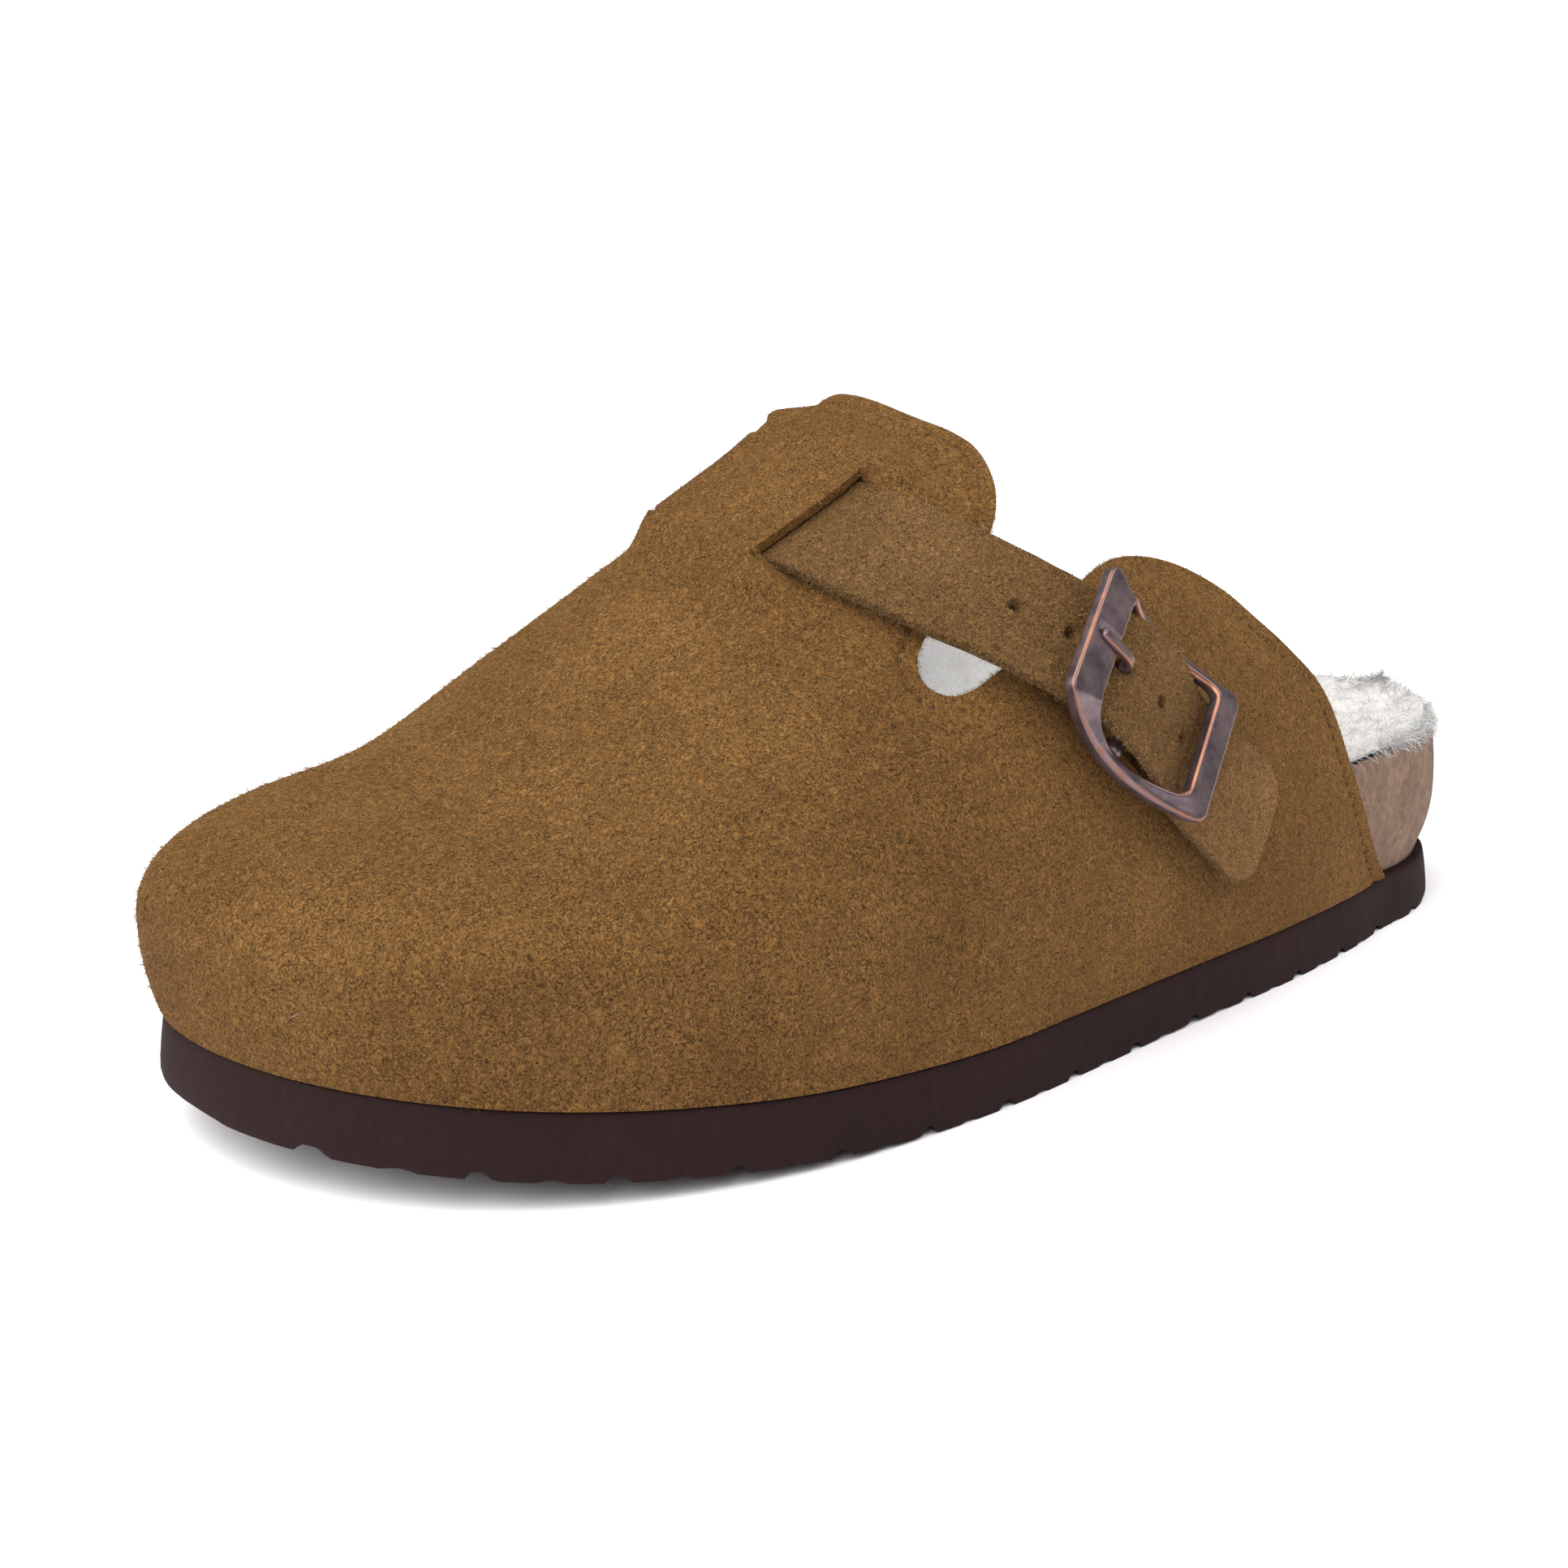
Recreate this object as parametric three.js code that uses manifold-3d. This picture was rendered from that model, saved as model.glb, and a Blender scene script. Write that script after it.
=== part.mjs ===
// Clog slipper for the left foot, empty and standing on its sole.
// Millimetres, +Z up, toe toward +X, the wearer's left (lateral side) toward +Y.
// Pieces: outsole, cork footbed, shearling insole, one-piece suede upper, strap threaded under the
// upper's bridge, and a buckle of frame, pin and prong held by a folded leather chape.
import * as THREE from 'three';
import { mergeVertices } from 'three/addons/utils/BufferGeometryUtils.js';
import Module from 'manifold-3d';

const wasm = await Module();
wasm.setup();

// Driving sizes of the whole shoe
const LENGTH = 275; // outsole, heel end to toe end
const BALL_WIDTH = 101.5; // outsole across the ball
const INSTEP_HEIGHT = 99.5; // top of the last above the outsole at the throat
const CLEARANCE = 0.3; // between pieces that meet

// Outsole
const SOLE_THICK = 10.5;
const SOLE_FLARE = 1.2; // how far the bottom edge stands out past the top edge
const TOE_SPRING = 8; // lift of the sole's underside at the toe tip
const ARCH_LIFT = 0.6; // lift of the underside at the waist
const GROOVE_DEPTH = 1.3;
const GROOVE_WIDTH = 3.2;
const GROOVE_PITCH = 16.5;
const TREAD_MARGIN = 9; // from the sole's ends to the first and last groove

// Upper
const WALL = 1.8; // suede with its backing
const TOE_OVERHANG = 2.2; // upper's toe past the outsole's toe
const HEEL_OVERHANG = 1.3; // last's heel past the outsole's heel
const SOLE_LIP = 1; // outsole's top edge showing outside the upper

// Cork footbed and shearling insole
const HEEL_RIM = 27; // cork rim above the outsole at the heel
const CUP_DEPTH = 6; // hollow of the footbed below its rim at the heel
const PILE = 5; // shearling above the cork
const PILE_FALL = 0.35; // share of the pile's height lost toward its edge

// Strap
const STRAP_WIDTH = 22.4;
const STRAP_THICK = 2.2;
const STRAP_HOLE = 3.4; // punched holes, across
const HOLE_PITCH = 9.3;
const HOLES_BEFORE = 2; // holes between the prong and the bridge
const HOLES_AFTER = 2; // holes between the prong and the strap's end
const STRAP_CORNER = 8; // cut corner of the free end
const SLIT_MARGIN = 2.6; // slit longer than the strap is wide, at each end
const SLIT_GAP = 0.35; // half the opening of a slit across its edges
const BRIDGE_RAMP = 11; // run over which the bridge rises to clear the strap
const BRIDGE_MARGIN = 2; // full height of the bridge past the strap's edges
const SLIT_FADE = 4; // run past a slit's end over which its outer edge joins the bridge's rise
const BRIDGE_FADE = 14; // degrees round the section over which the rise fades beside the bridge

// Buckle
const FRAME_LENGTH = 37.4; // along the strap
const FRONT_BAR = 7.1; // flat end bar toward the bridge
const REAR_BAR = 5.4; // flat end bar toward the strap's free end
const SIDE_BAR = 1.9;
const FRAME_THICK = 2.2;
const FRAME_PLAY = 0.7; // strap edge to side bar
const FRAME_BOW = 1.3; // side bars bowed outward
const FRAME_CORNER = 2.4; // cut corners of the frame
const FRAME_EDGE = 0.5; // bevel
const BAR_HEIGHT = 6.8; // end bars' underside above the last at the pin
const PIN_RADIUS = 1.4;
const PRONG_RADIUS = 0.95;
const PRONG_ROOM = 4.2; // from the front bar to the strap hole that holds the prong
const CHAPE_THICK = 1;
const CHAPE_WIDTH = 17.4;
const CHAPE_LENGTH = 19;
const PRONG_REACH = FRAME_LENGTH / 2 - FRONT_BAR - PRONG_ROOM; // pin to the prong's hole

// Plan of the outsole. Centre line and half widths are shares of the ball width.
const OUTLINE = [
  { at: 0.0, centre: 0.0, lateral: 0.31, medial: 0.305 },
  { at: 0.13, centre: 0.0, lateral: 0.33, medial: 0.31 },
  { at: 0.2, centre: 0.0, lateral: 0.379, medial: 0.325 },
  { at: 0.3, centre: 0.0, lateral: 0.429, medial: 0.33 },
  { at: 0.4, centre: 0.0, lateral: 0.463, medial: 0.335 },
  { at: 0.5, centre: 0.0, lateral: 0.498, medial: 0.355 },
  { at: 0.6, centre: -0.01, lateral: 0.542, medial: 0.389 },
  { at: 0.7, centre: -0.039, lateral: 0.576, medial: 0.424 },
  { at: 0.8, centre: -0.074, lateral: 0.591, medial: 0.424 },
  { at: 0.9, centre: -0.103, lateral: 0.601, medial: 0.424 },
  { at: 1.0, centre: -0.138, lateral: 0.606, medial: 0.424 },
];

// Sections of the last. Widths and the ridge's offset are shares of the ball width, heights above
// the outsole are shares of the instep height, and a shoulder draws its side in toward the ridge.
const SECTION_COLUMNS = [
  'at', 'centre', 'lateral', 'medial', 'top', 'ridge', 'widest', 'shoulderL', 'shoulderM',
];
const SECTIONS = [
  [0.0, 0.0, 0.335, 0.315, 0.62, -0.03, 0.14, 0.2, 0.2],
  [0.15, 0.0, 0.355, 0.325, 0.74, -0.04, 0.14, 0.2, 0.2],
  [0.3, 0.0, 0.433, 0.335, 0.884, -0.069, 0.14, 0.16, 0.2],
  [0.42, 0.0, 0.473, 0.355, 0.968, -0.103, 0.15, 0.02, 0.12],
  [0.52, 0.0, 0.507, 0.375, 1.0, -0.12, 0.16, -0.06, 0.1],
  [0.6, -0.01, 0.542, 0.405, 0.872, -0.11, 0.172, 0.04, 0.12],
  [0.68, -0.039, 0.581, 0.436, 0.726, -0.102, 0.189, 0.12, 0.12],
  [0.76, -0.064, 0.591, 0.449, 0.569, -0.093, 0.196, 0.1, 0.06],
  [0.84, -0.089, 0.592, 0.443, 0.421, -0.08, 0.195, 0.02, 0.0],
  [0.92, -0.113, 0.597, 0.42, 0.386, -0.06, 0.182, -0.04, -0.04],
  [1.0, -0.128, 0.602, 0.395, 0.385, -0.045, 0.165, -0.04, -0.04],
].map((row) => Object.fromEntries(row.map((share, k) => [SECTION_COLUMNS[k], share])));

// Footbed. Rim and middle heights above the outsole are shares of the heel rim's height.
const FOOTBED = [
  { at: 0.0, rim: 1.0, cup: 1.0 },
  { at: 0.2, rim: 0.98, cup: 1.15 },
  { at: 0.35, rim: 0.86, cup: 0.8 },
  { at: 0.5, rim: 0.66, cup: 0.45 },
  { at: 0.65, rim: 0.48, cup: 0.3 },
  { at: 0.85, rim: 0.42, cup: 0.25 },
  { at: 1.0, rim: 0.42, cup: 0.2 },
];

// Side view of the topline from the wing's foot to the tongue's back edge. Places along the shoe are
// shares of its length, heights above the outsole are shares of the instep height.
const TOPLINE = [
  { at: 0.128, high: -0.03 },
  { at: 0.171, high: 0.061 },
  { at: 0.199, high: 0.179 },
  { at: 0.221, high: 0.29 },
  { at: 0.24, high: 0.43 },
  { at: 0.27, high: 0.517 },
  { at: 0.299, high: 0.581 },
  { at: 0.33, high: 0.644 },
  { at: 0.376, high: 0.7 },
  { at: 0.425, high: 0.722 },
  { at: 0.468, high: 0.704 },
  { at: 0.52, high: 0.64 },
  { at: 0.574, high: 0.577 },
  { at: 0.592, high: 0.559 },
  { at: 0.606, high: 0.558 },
  { at: 0.615, high: 0.575 },
  { at: 0.614, high: 0.604 },
  { at: 0.604, high: 0.635 },
  { at: 0.57, high: 0.71 },
  { at: 0.534, high: 0.785 },
  { at: 0.512, high: 0.85 },
  { at: 0.504, high: 0.905 },
  { at: 0.51, high: 0.935 },
  { at: 0.528, high: 0.975 },
  { at: 0.533, high: 1.06 },
];

// Centre line of the strap over the last, from its sewn medial end to its free lateral end.
// The angle runs round the section from the lateral side, over the ridge at 90, to the medial side,
// and the lift is how far the strap stands off the last, in millimetres.
const STRAP_PATH = [
  { at: 0.43, angle: 164, lift: 0 },
  { at: 0.49, angle: 153, lift: 0 },
  { at: 0.55, angle: 138, lift: 0.4 },
  { at: 0.595, angle: 116, lift: 1 },
  { at: 0.62, angle: 90, lift: 0.9 },
  { at: 0.614, angle: 66, lift: 0.6 },
  { at: 0.581, angle: 47.8, lift: 0.2 },
  { at: 0.543, angle: 36.8, lift: 0 },
  { at: 0.51, angle: 30.3, lift: 0 },
  { at: 0.48, angle: 24.3, lift: 0 },
  { at: 0.424, angle: 15, lift: 0 },
  { at: 0.354, angle: 6, lift: 0 },
];
const PIN_ROW = 9;
const BRIDGE_ROW = 4;
const SLIT_LATERAL = 67; // angle of the slit's edge round the section
const SLIT_MEDIAL = 93;

// Shape of the last's ends
const TOE_FROM = 0.71; // share of the length where the outline starts to round to the toe
const HEEL_FROM = 0.13;
const TOE_ROUND = 2.1; // power of the rounding, 2 is an ellipse
const ROOF_FROM = 0.78; // where the roof of the toe box starts to fall
const ROOF_ROUND = 2.2;
const SPRING_FROM = 0.6;
const SPRING_POWER = 1.5;
const ARCH_FROM = 0.3;
const ARCH_TO = 0.5;
const LOWER_SHARE = 0.14; // share of the girth that is wall below the widest line, on each side

const clamp = THREE.MathUtils.clamp;
const mix = THREE.MathUtils.lerp;

// Smooth value between the rows of a table, with slopes taken from the neighbouring rows
function between(table, at, column) {
  const last = table.length - 1;
  let row = 0;
  while (row < last - 1 && at > table[row + 1].at) row += 1;
  const slope = (k) => {
    const low = Math.max(k - 1, 0);
    const high = Math.min(k + 1, last);
    return (table[high][column] - table[low][column]) / (table[high].at - table[low].at);
  };
  const span = table[row + 1].at - table[row].at;
  const t = (at - table[row].at) / span;
  const rise = table[row + 1][column] - table[row][column];
  const s0 = slope(row) * span;
  const s1 = slope(row + 1) * span;
  return table[row][column] + t * (s0 + t * (3 * rise - 2 * s0 - s1 + t * (s0 + s1 - 2 * rise)));
}

// Rounding of a width toward one end: 1 at its start, 0 at the tip
function rounding(share, power) {
  const u = clamp(share, 0, 1);
  return (1 - u ** power) ** (1 / power);
}

// Lift of the whole shoe toward the toe
function springAt(at) {
  return TOE_SPRING * clamp((at - SPRING_FROM) / (1 - SPRING_FROM), 0, 1) ** SPRING_POWER;
}

// Height of the sole's underside: flat heel and ball, a low arch and the toe spring
function undersideAt(at) {
  const arch = Math.sin(Math.PI * clamp((at - ARCH_FROM) / (ARCH_TO - ARCH_FROM), 0, 1)) ** 2;
  return springAt(at) + ARCH_LIFT * arch;
}

const soleTopAt = (at) => springAt(at) + SOLE_THICK;

// Ends of the last and of its base line on the outsole, as shares of the length
const TOE_TIP = 1 + TOE_OVERHANG / LENGTH;
const HEEL_TIP = -HEEL_OVERHANG / LENGTH;
const BASE_TOE = 1 - SOLE_LIP / LENGTH;
const BASE_HEEL = SOLE_LIP / LENGTH;

// Point on the last. Girth 0 is the lateral base line, 0.5 the ridge and 1 the medial base line.
function lastPoint(at, girth) {
  const side = girth < 0.5 ? 'lateral' : 'medial';
  const sign = girth < 0.5 ? 1 : -1;
  const toe = clamp((at - TOE_FROM) / (TOE_TIP - TOE_FROM), 0, 1);
  const heel = clamp((HEEL_FROM - at) / (HEEL_FROM - HEEL_TIP), 0, 1);
  const round = rounding(toe, TOE_ROUND) * rounding(heel, 2);
  const roof = rounding((at - ROOF_FROM) / (TOE_TIP - ROOF_FROM), ROOF_ROUND);
  const section = (column) => between(SECTIONS, clamp(at, 0, 1), column);
  const widest = INSTEP_HEIGHT * section('widest');
  const floor = soleTopAt(at);
  const down = clamp(1 - Math.min(girth, 1 - girth) / LOWER_SHARE, 0, 1);
  const width = BALL_WIDTH * section(side) * round;
  if (down > 0) {
    let baseAt = at;
    if (toe > 0) baseAt = mix(TOE_FROM, BASE_TOE, toe);
    if (heel > 0) baseAt = mix(HEEL_FROM, BASE_HEEL, heel);
    const baseWidth = (BALL_WIDTH * between(OUTLINE, baseAt, side) - SOLE_LIP) * round;
    const baseY = BALL_WIDTH * between(OUTLINE, baseAt, 'centre') + sign * baseWidth;
    const x = LENGTH * mix(at, baseAt, down ** 2);
    const y = mix(BALL_WIDTH * section('centre') + sign * width, baseY, down ** 2);
    return new THREE.Vector3(x, y, mix(floor + widest, soleTopAt(baseAt), down));
  }
  const angle = (Math.PI * (girth - LOWER_SHARE)) / (1 - 2 * LOWER_SHARE);
  const up = Math.sin(angle);
  const shoulder = section(girth < 0.5 ? 'shoulderL' : 'shoulderM');
  const ridge = BALL_WIDTH * section('ridge') * round;
  const drawn = 1 - shoulder * up ** 2;
  const y = BALL_WIDTH * section('centre') + width * Math.cos(angle) * drawn + ridge * up ** 2;
  const z = floor + widest + (INSTEP_HEIGHT * section('top') - widest) * up * roof;
  return new THREE.Vector3(LENGTH * at, y, z);
}

const girthOf = (degrees) => LOWER_SHARE + (degrees / 180) * (1 - 2 * LOWER_SHARE);

// Change of the last's point along the shoe and round it, by small steps inside the last's ends
function lastSlopes(at, girth) {
  const room = Math.min(TOE_TIP - at, at - HEEL_TIP);
  const step = Math.max(Math.min(0.002, room / 3), 1e-7);
  const turn = 0.002;
  const along = lastPoint(at + step, girth).sub(lastPoint(at - step, girth));
  const low = Math.max(girth - turn, 0);
  const high = Math.min(girth + turn, 1);
  const round = lastPoint(at, high).sub(lastPoint(at, low));
  return { along: along.divideScalar(2 * step), round: round.divideScalar(high - low) };
}

function lastNormal(at, girth) {
  const tip = at > TOE_TIP - 1e-5 ? 1 : at < HEEL_TIP + 1e-5 ? -1 : 0;
  if (tip !== 0) {
    const low = Math.min(girth, 1 - girth);
    if (low >= LOWER_SHARE) return new THREE.Vector3(tip, 0, 0);
    const rise = lastPoint(at, Math.min(low + 0.01, LOWER_SHARE)).sub(lastPoint(at, Math.max(low - 0.01, 0)));
    return new THREE.Vector3(tip * rise.z, 0, -tip * rise.x).normalize();
  }
  const { along, round } = lastSlopes(at, girth);
  return round.cross(along).normalize();
}

const offsetPoint = (at, girth, distance) =>
  lastPoint(at, girth).addScaledVector(lastNormal(at, girth), distance);

// Girth at which one side of a section reaches a height above the outsole
function girthAtHeight(at, lateral, height) {
  const section = (column) => INSTEP_HEIGHT * between(SECTIONS, clamp(at, 0, 1), column);
  const widest = section('widest');
  let low = (LOWER_SHARE * height) / widest;
  if (height > widest) {
    const roof = Math.max(rounding((at - ROOF_FROM) / (TOE_TIP - ROOF_FROM), ROOF_ROUND), 0.01);
    const up = clamp((height - widest) / ((section('top') - widest) * roof), 0, 1);
    low = girthOf(THREE.MathUtils.radToDeg(Math.asin(up)));
  }
  return lateral ? low : 1 - low;
}

// Even steps from one number to another
const steps = (from, to, count) => Array.from({ length: count + 1 }, (_, k) => mix(from, to, k / count));

// Stations that crowd toward an end of the last, as its outline rounds off
const towardTip = (from, tip, count) =>
  steps(0, Math.PI / 2, count).map((turn) => mix(from, tip, Math.sin(turn)));

// Closed solid between two grids of points. Quads that aren't kept are left open, with walls round
// them. Rows may end in a tip, where the columns close on each other.
function solidBetween(outer, inner, keep = () => true, tips = { first: false, last: false }) {
  const points = [];
  const quad = (a, b, c, d) => points.push(a, b, c, a, c, d);
  const rows = outer.length - 1;
  const columns = outer[0].length - 1;
  const kept = (i, j) => i >= 0 && j >= 0 && i < rows && j < columns && keep(i, j);
  for (let i = 0; i < rows; i += 1) {
    for (let j = 0; j < columns; j += 1) {
      if (!kept(i, j)) continue;
      quad(outer[i][j], outer[i][j + 1], outer[i + 1][j + 1], outer[i + 1][j]);
      quad(inner[i][j], inner[i + 1][j], inner[i + 1][j + 1], inner[i][j + 1]);
      if (!kept(i, j - 1)) quad(outer[i][j], outer[i + 1][j], inner[i + 1][j], inner[i][j]);
      if (!kept(i, j + 1)) {
        quad(outer[i + 1][j + 1], outer[i][j + 1], inner[i][j + 1], inner[i + 1][j + 1]);
      }
      if (!kept(i - 1, j) && !(i === 0 && tips.first)) {
        quad(outer[i][j + 1], outer[i][j], inner[i][j], inner[i][j + 1]);
      }
      if (!kept(i + 1, j) && !(i === rows - 1 && tips.last)) {
        quad(outer[i + 1][j], outer[i + 1][j + 1], inner[i + 1][j + 1], inner[i + 1][j]);
      }
    }
  }
  return asSolid(new THREE.BufferGeometry().setFromPoints(points));
}

// Solid for cutting and joining, from a closed geometry
function asSolid(geometry) {
  const loose = geometry.clone();
  loose.deleteAttribute('normal');
  loose.deleteAttribute('uv');
  const merged = mergeVertices(loose, 1e-4);
  const triVerts = [];
  for (let k = 0; k < merged.index.count; k += 3) {
    const corners = [0, 1, 2].map((c) => merged.index.getX(k + c));
    if (new Set(corners).size === 3) triVerts.push(...corners);
  }
  const mesh = new wasm.Mesh({
    numProp: 3,
    vertProperties: new Float32Array(merged.attributes.position.array),
    triVerts: new Uint32Array(triVerts),
  });
  return new wasm.Manifold(mesh);
}

function asGeometry(solid) {
  const mesh = solid.getMesh();
  const geometry = new THREE.BufferGeometry();
  geometry.setAttribute('position', new THREE.BufferAttribute(mesh.vertProperties, 3));
  geometry.setIndex(new THREE.BufferAttribute(mesh.triVerts, 1));
  return geometry;
}

function piece(name, solid, color, roughness, metalness = 0) {
  const material = new THREE.MeshStandardMaterial({ color, roughness, metalness });
  const mesh = new THREE.Mesh(asGeometry(solid), material);
  mesh.name = name;
  return mesh;
}

// Outsole: a foam slab with a flared edge and grooves across its tread
function outsole() {
  const first = TREAD_MARGIN;
  const count = Math.floor((LENGTH - 2 * TREAD_MARGIN) / GROOVE_PITCH);
  const pitch = (LENGTH - 2 * TREAD_MARGIN) / count;
  const half = GROOVE_WIDTH / 2;
  const profile = [[-half, 0], [-half / 2, 1], [half / 2, 1], [half, 0]];
  const stations = [];
  for (let k = 0; k <= count; k += 1) {
    for (const [shift, depth] of profile) stations.push([(first + k * pitch + shift) / LENGTH, depth]);
    if (k < count) stations.push([(first + (k + 0.5) * pitch) / LENGTH, 0]);
  }
  const firstAt = stations[0][0];
  const lastAt = stations[stations.length - 1][0];
  for (const at of towardTip(firstAt, 0, 4).slice(1)) stations.unshift([at, 0]);
  for (const at of towardTip(lastAt, 1, 4).slice(1)) stations.push([at, 0]);
  const across = [1, 0.5, 0, -0.5, -1];
  const edge = ([at, depth], inset, height) => {
    const toe = clamp((at - TOE_FROM) / (1 - TOE_FROM), 0, 1);
    const heel = clamp((HEEL_FROM - at) / HEEL_FROM, 0, 1);
    const round = rounding(toe, TOE_ROUND) * rounding(heel, 2);
    const x = LENGTH * at + inset * (rounding(1 - heel, 2) * (heel > 0) - rounding(1 - toe, 2) * (toe > 0));
    const width = (side) => (BALL_WIDTH * between(OUTLINE, at, side) - inset) * round;
    const centre = BALL_WIDTH * between(OUTLINE, at, 'centre');
    return across.map((q) => {
      const y = centre + q * width(q > 0 ? 'lateral' : 'medial');
      return new THREE.Vector3(x, y, height(at, depth));
    });
  };
  const top = stations.map((station) => edge(station, SOLE_FLARE, (at) => soleTopAt(at)));
  const tread = (at, depth) => undersideAt(at) + GROOVE_DEPTH * depth;
  const bottom = stations.map((station) => edge(station, 0, tread));
  return solidBetween(top, bottom, () => true, { first: true, last: true });
}

// Stations of the toe, shared by all that is fitted to the last, and of the whole footbed
const TOE_STATIONS = towardTip(TOE_FROM, TOE_TIP, 12).slice(1);
const FULL_STATIONS = [
  ...towardTip(HEEL_FROM, HEEL_TIP, 6).reverse(),
  ...steps(HEEL_FROM, TOE_FROM, 15).slice(1),
  ...TOE_STATIONS,
];

const rimAt = (at) => HEEL_RIM * between(FOOTBED, clamp(at, 0, 1), 'rim');

// Place inside the upper's wall at a height above the outsole, on one side. The wall leans in above
// its widest line, so what rises higher lies further in.
function insidePoint(at, lateral, height) {
  return offsetPoint(at, girthAtHeight(at, lateral, height), -(WALL + 2 * CLEARANCE));
}

// Depth of the footbed's hollow, fading out toward both ends
function hollowAt(at, q) {
  const fade = rounding((at - TOE_FROM) / (TOE_TIP - TOE_FROM), TOE_ROUND)
    * rounding((HEEL_FROM - at) / (HEEL_FROM - HEEL_TIP), 2);
  return CUP_DEPTH * between(FOOTBED, clamp(at, 0, 1), 'cup') * fade * (1 - q ** 2);
}

const INSIDE_COLUMNS = steps(-1, 1, 6);

// Cork footbed: its side follows the inside of the upper and its top is hollowed for the foot
function footbed() {
  const sideSteps = 3;
  const rows = FULL_STATIONS.map((at) => {
    const side = (lateral) => steps(0, 1, sideSteps).map((share) => {
      const point = insidePoint(at, lateral, rimAt(at) * share);
      if (share === 0) point.z = soleTopAt(point.x / LENGTH) + CLEARANCE;
      return point;
    });
    const lateral = side(true);
    const medial = side(false);
    const edgeL = lateral[sideSteps];
    const edgeM = medial[sideSteps];
    const dish = INSIDE_COLUMNS.slice(1, -1).map((q) => {
      const point = edgeL.clone().lerp(edgeM, (q + 1) / 2);
      point.z -= hollowAt(at, q);
      return point;
    });
    return [...lateral, ...dish, ...medial.reverse()];
  });
  const under = rows.map((row) => row.map((_, k) => row[0].clone().lerp(row.at(-1), k / (row.length - 1))));
  return solidBetween(rows, under, () => true, { first: true, last: true });
}

// Edge of the insole: the innermost place of the wall over the pile's height, on the footbed's rim
function insoleEdge(at, lateral) {
  const rim = insidePoint(at, lateral, rimAt(at));
  const crown = insidePoint(at, lateral, rimAt(at) + PILE);
  const centreAt = clamp(at, HEEL_FROM, TOE_FROM);
  const centreY = BALL_WIDTH * between(SECTIONS, clamp(at, 0, 1), 'centre');
  const reach = ({ x, y }) => Math.hypot(x - LENGTH * centreAt, y - centreY);
  return reach(crown) < reach(rim) ? crown.setZ(rim.z) : rim;
}

// Shearling insole: a thick pile that lies in the footbed's hollow
function insole() {
  const surface = (thick) => FULL_STATIONS.map((at) => {
    const edgeL = insoleEdge(at, true);
    const edgeM = insoleEdge(at, false);
    return INSIDE_COLUMNS.map((q) => {
      const point = edgeL.clone().lerp(edgeM, (q + 1) / 2);
      point.z += CLEARANCE - hollowAt(at, q) + thick * (1 - PILE_FALL * q ** 4);
      return point;
    });
  });
  return solidBetween(surface(PILE), surface(0), () => true, { first: true, last: true });
}

// Place of the strap's bridge on the last and the run of the slits through the upper
const BRIDGE_AT = STRAP_PATH[BRIDGE_ROW].at;
const BRIDGE_SPEED = lastSlopes(BRIDGE_AT, 0.5).along.length();
const SLIT_HALF = STRAP_WIDTH / 2 + SLIT_MARGIN;
const BRIDGE_LIFT = STRAP_THICK + 3 * CLEARANCE + WALL;
const smooth = (t) => THREE.MathUtils.smoothstep(t, 0, 1);

// Rise of the upper's wall over the strap. Between the slits it clears the strap, and past the
// slits' ends it fades out in all directions.
function bridgeLift(at, angle) {
  const ridge = STRAP_PATH[BRIDGE_ROW];
  const side = STRAP_PATH[BRIDGE_ROW + (angle < ridge.angle ? 1 : -1)];
  const turned = clamp((angle - ridge.angle) / (side.angle - ridge.angle), 0, 1);
  const along = Math.abs(at - mix(ridge.at, side.at, turned)) * BRIDGE_SPEED;
  const raised = BRIDGE_LIFT + mix(ridge.lift, side.lift, turned);
  const bridged = angle > SLIT_LATERAL && angle < SLIT_MEDIAL;
  const crest = raised * (1 - smooth((along - STRAP_WIDTH / 2 - BRIDGE_MARGIN) / BRIDGE_RAMP));
  if (bridged) return crest;
  const away = Math.max(SLIT_LATERAL - angle, angle - SLIT_MEDIAL);
  return crest * smooth((along - SLIT_HALF) / SLIT_FADE) * (1 - smooth(away / BRIDGE_FADE));
}

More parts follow.
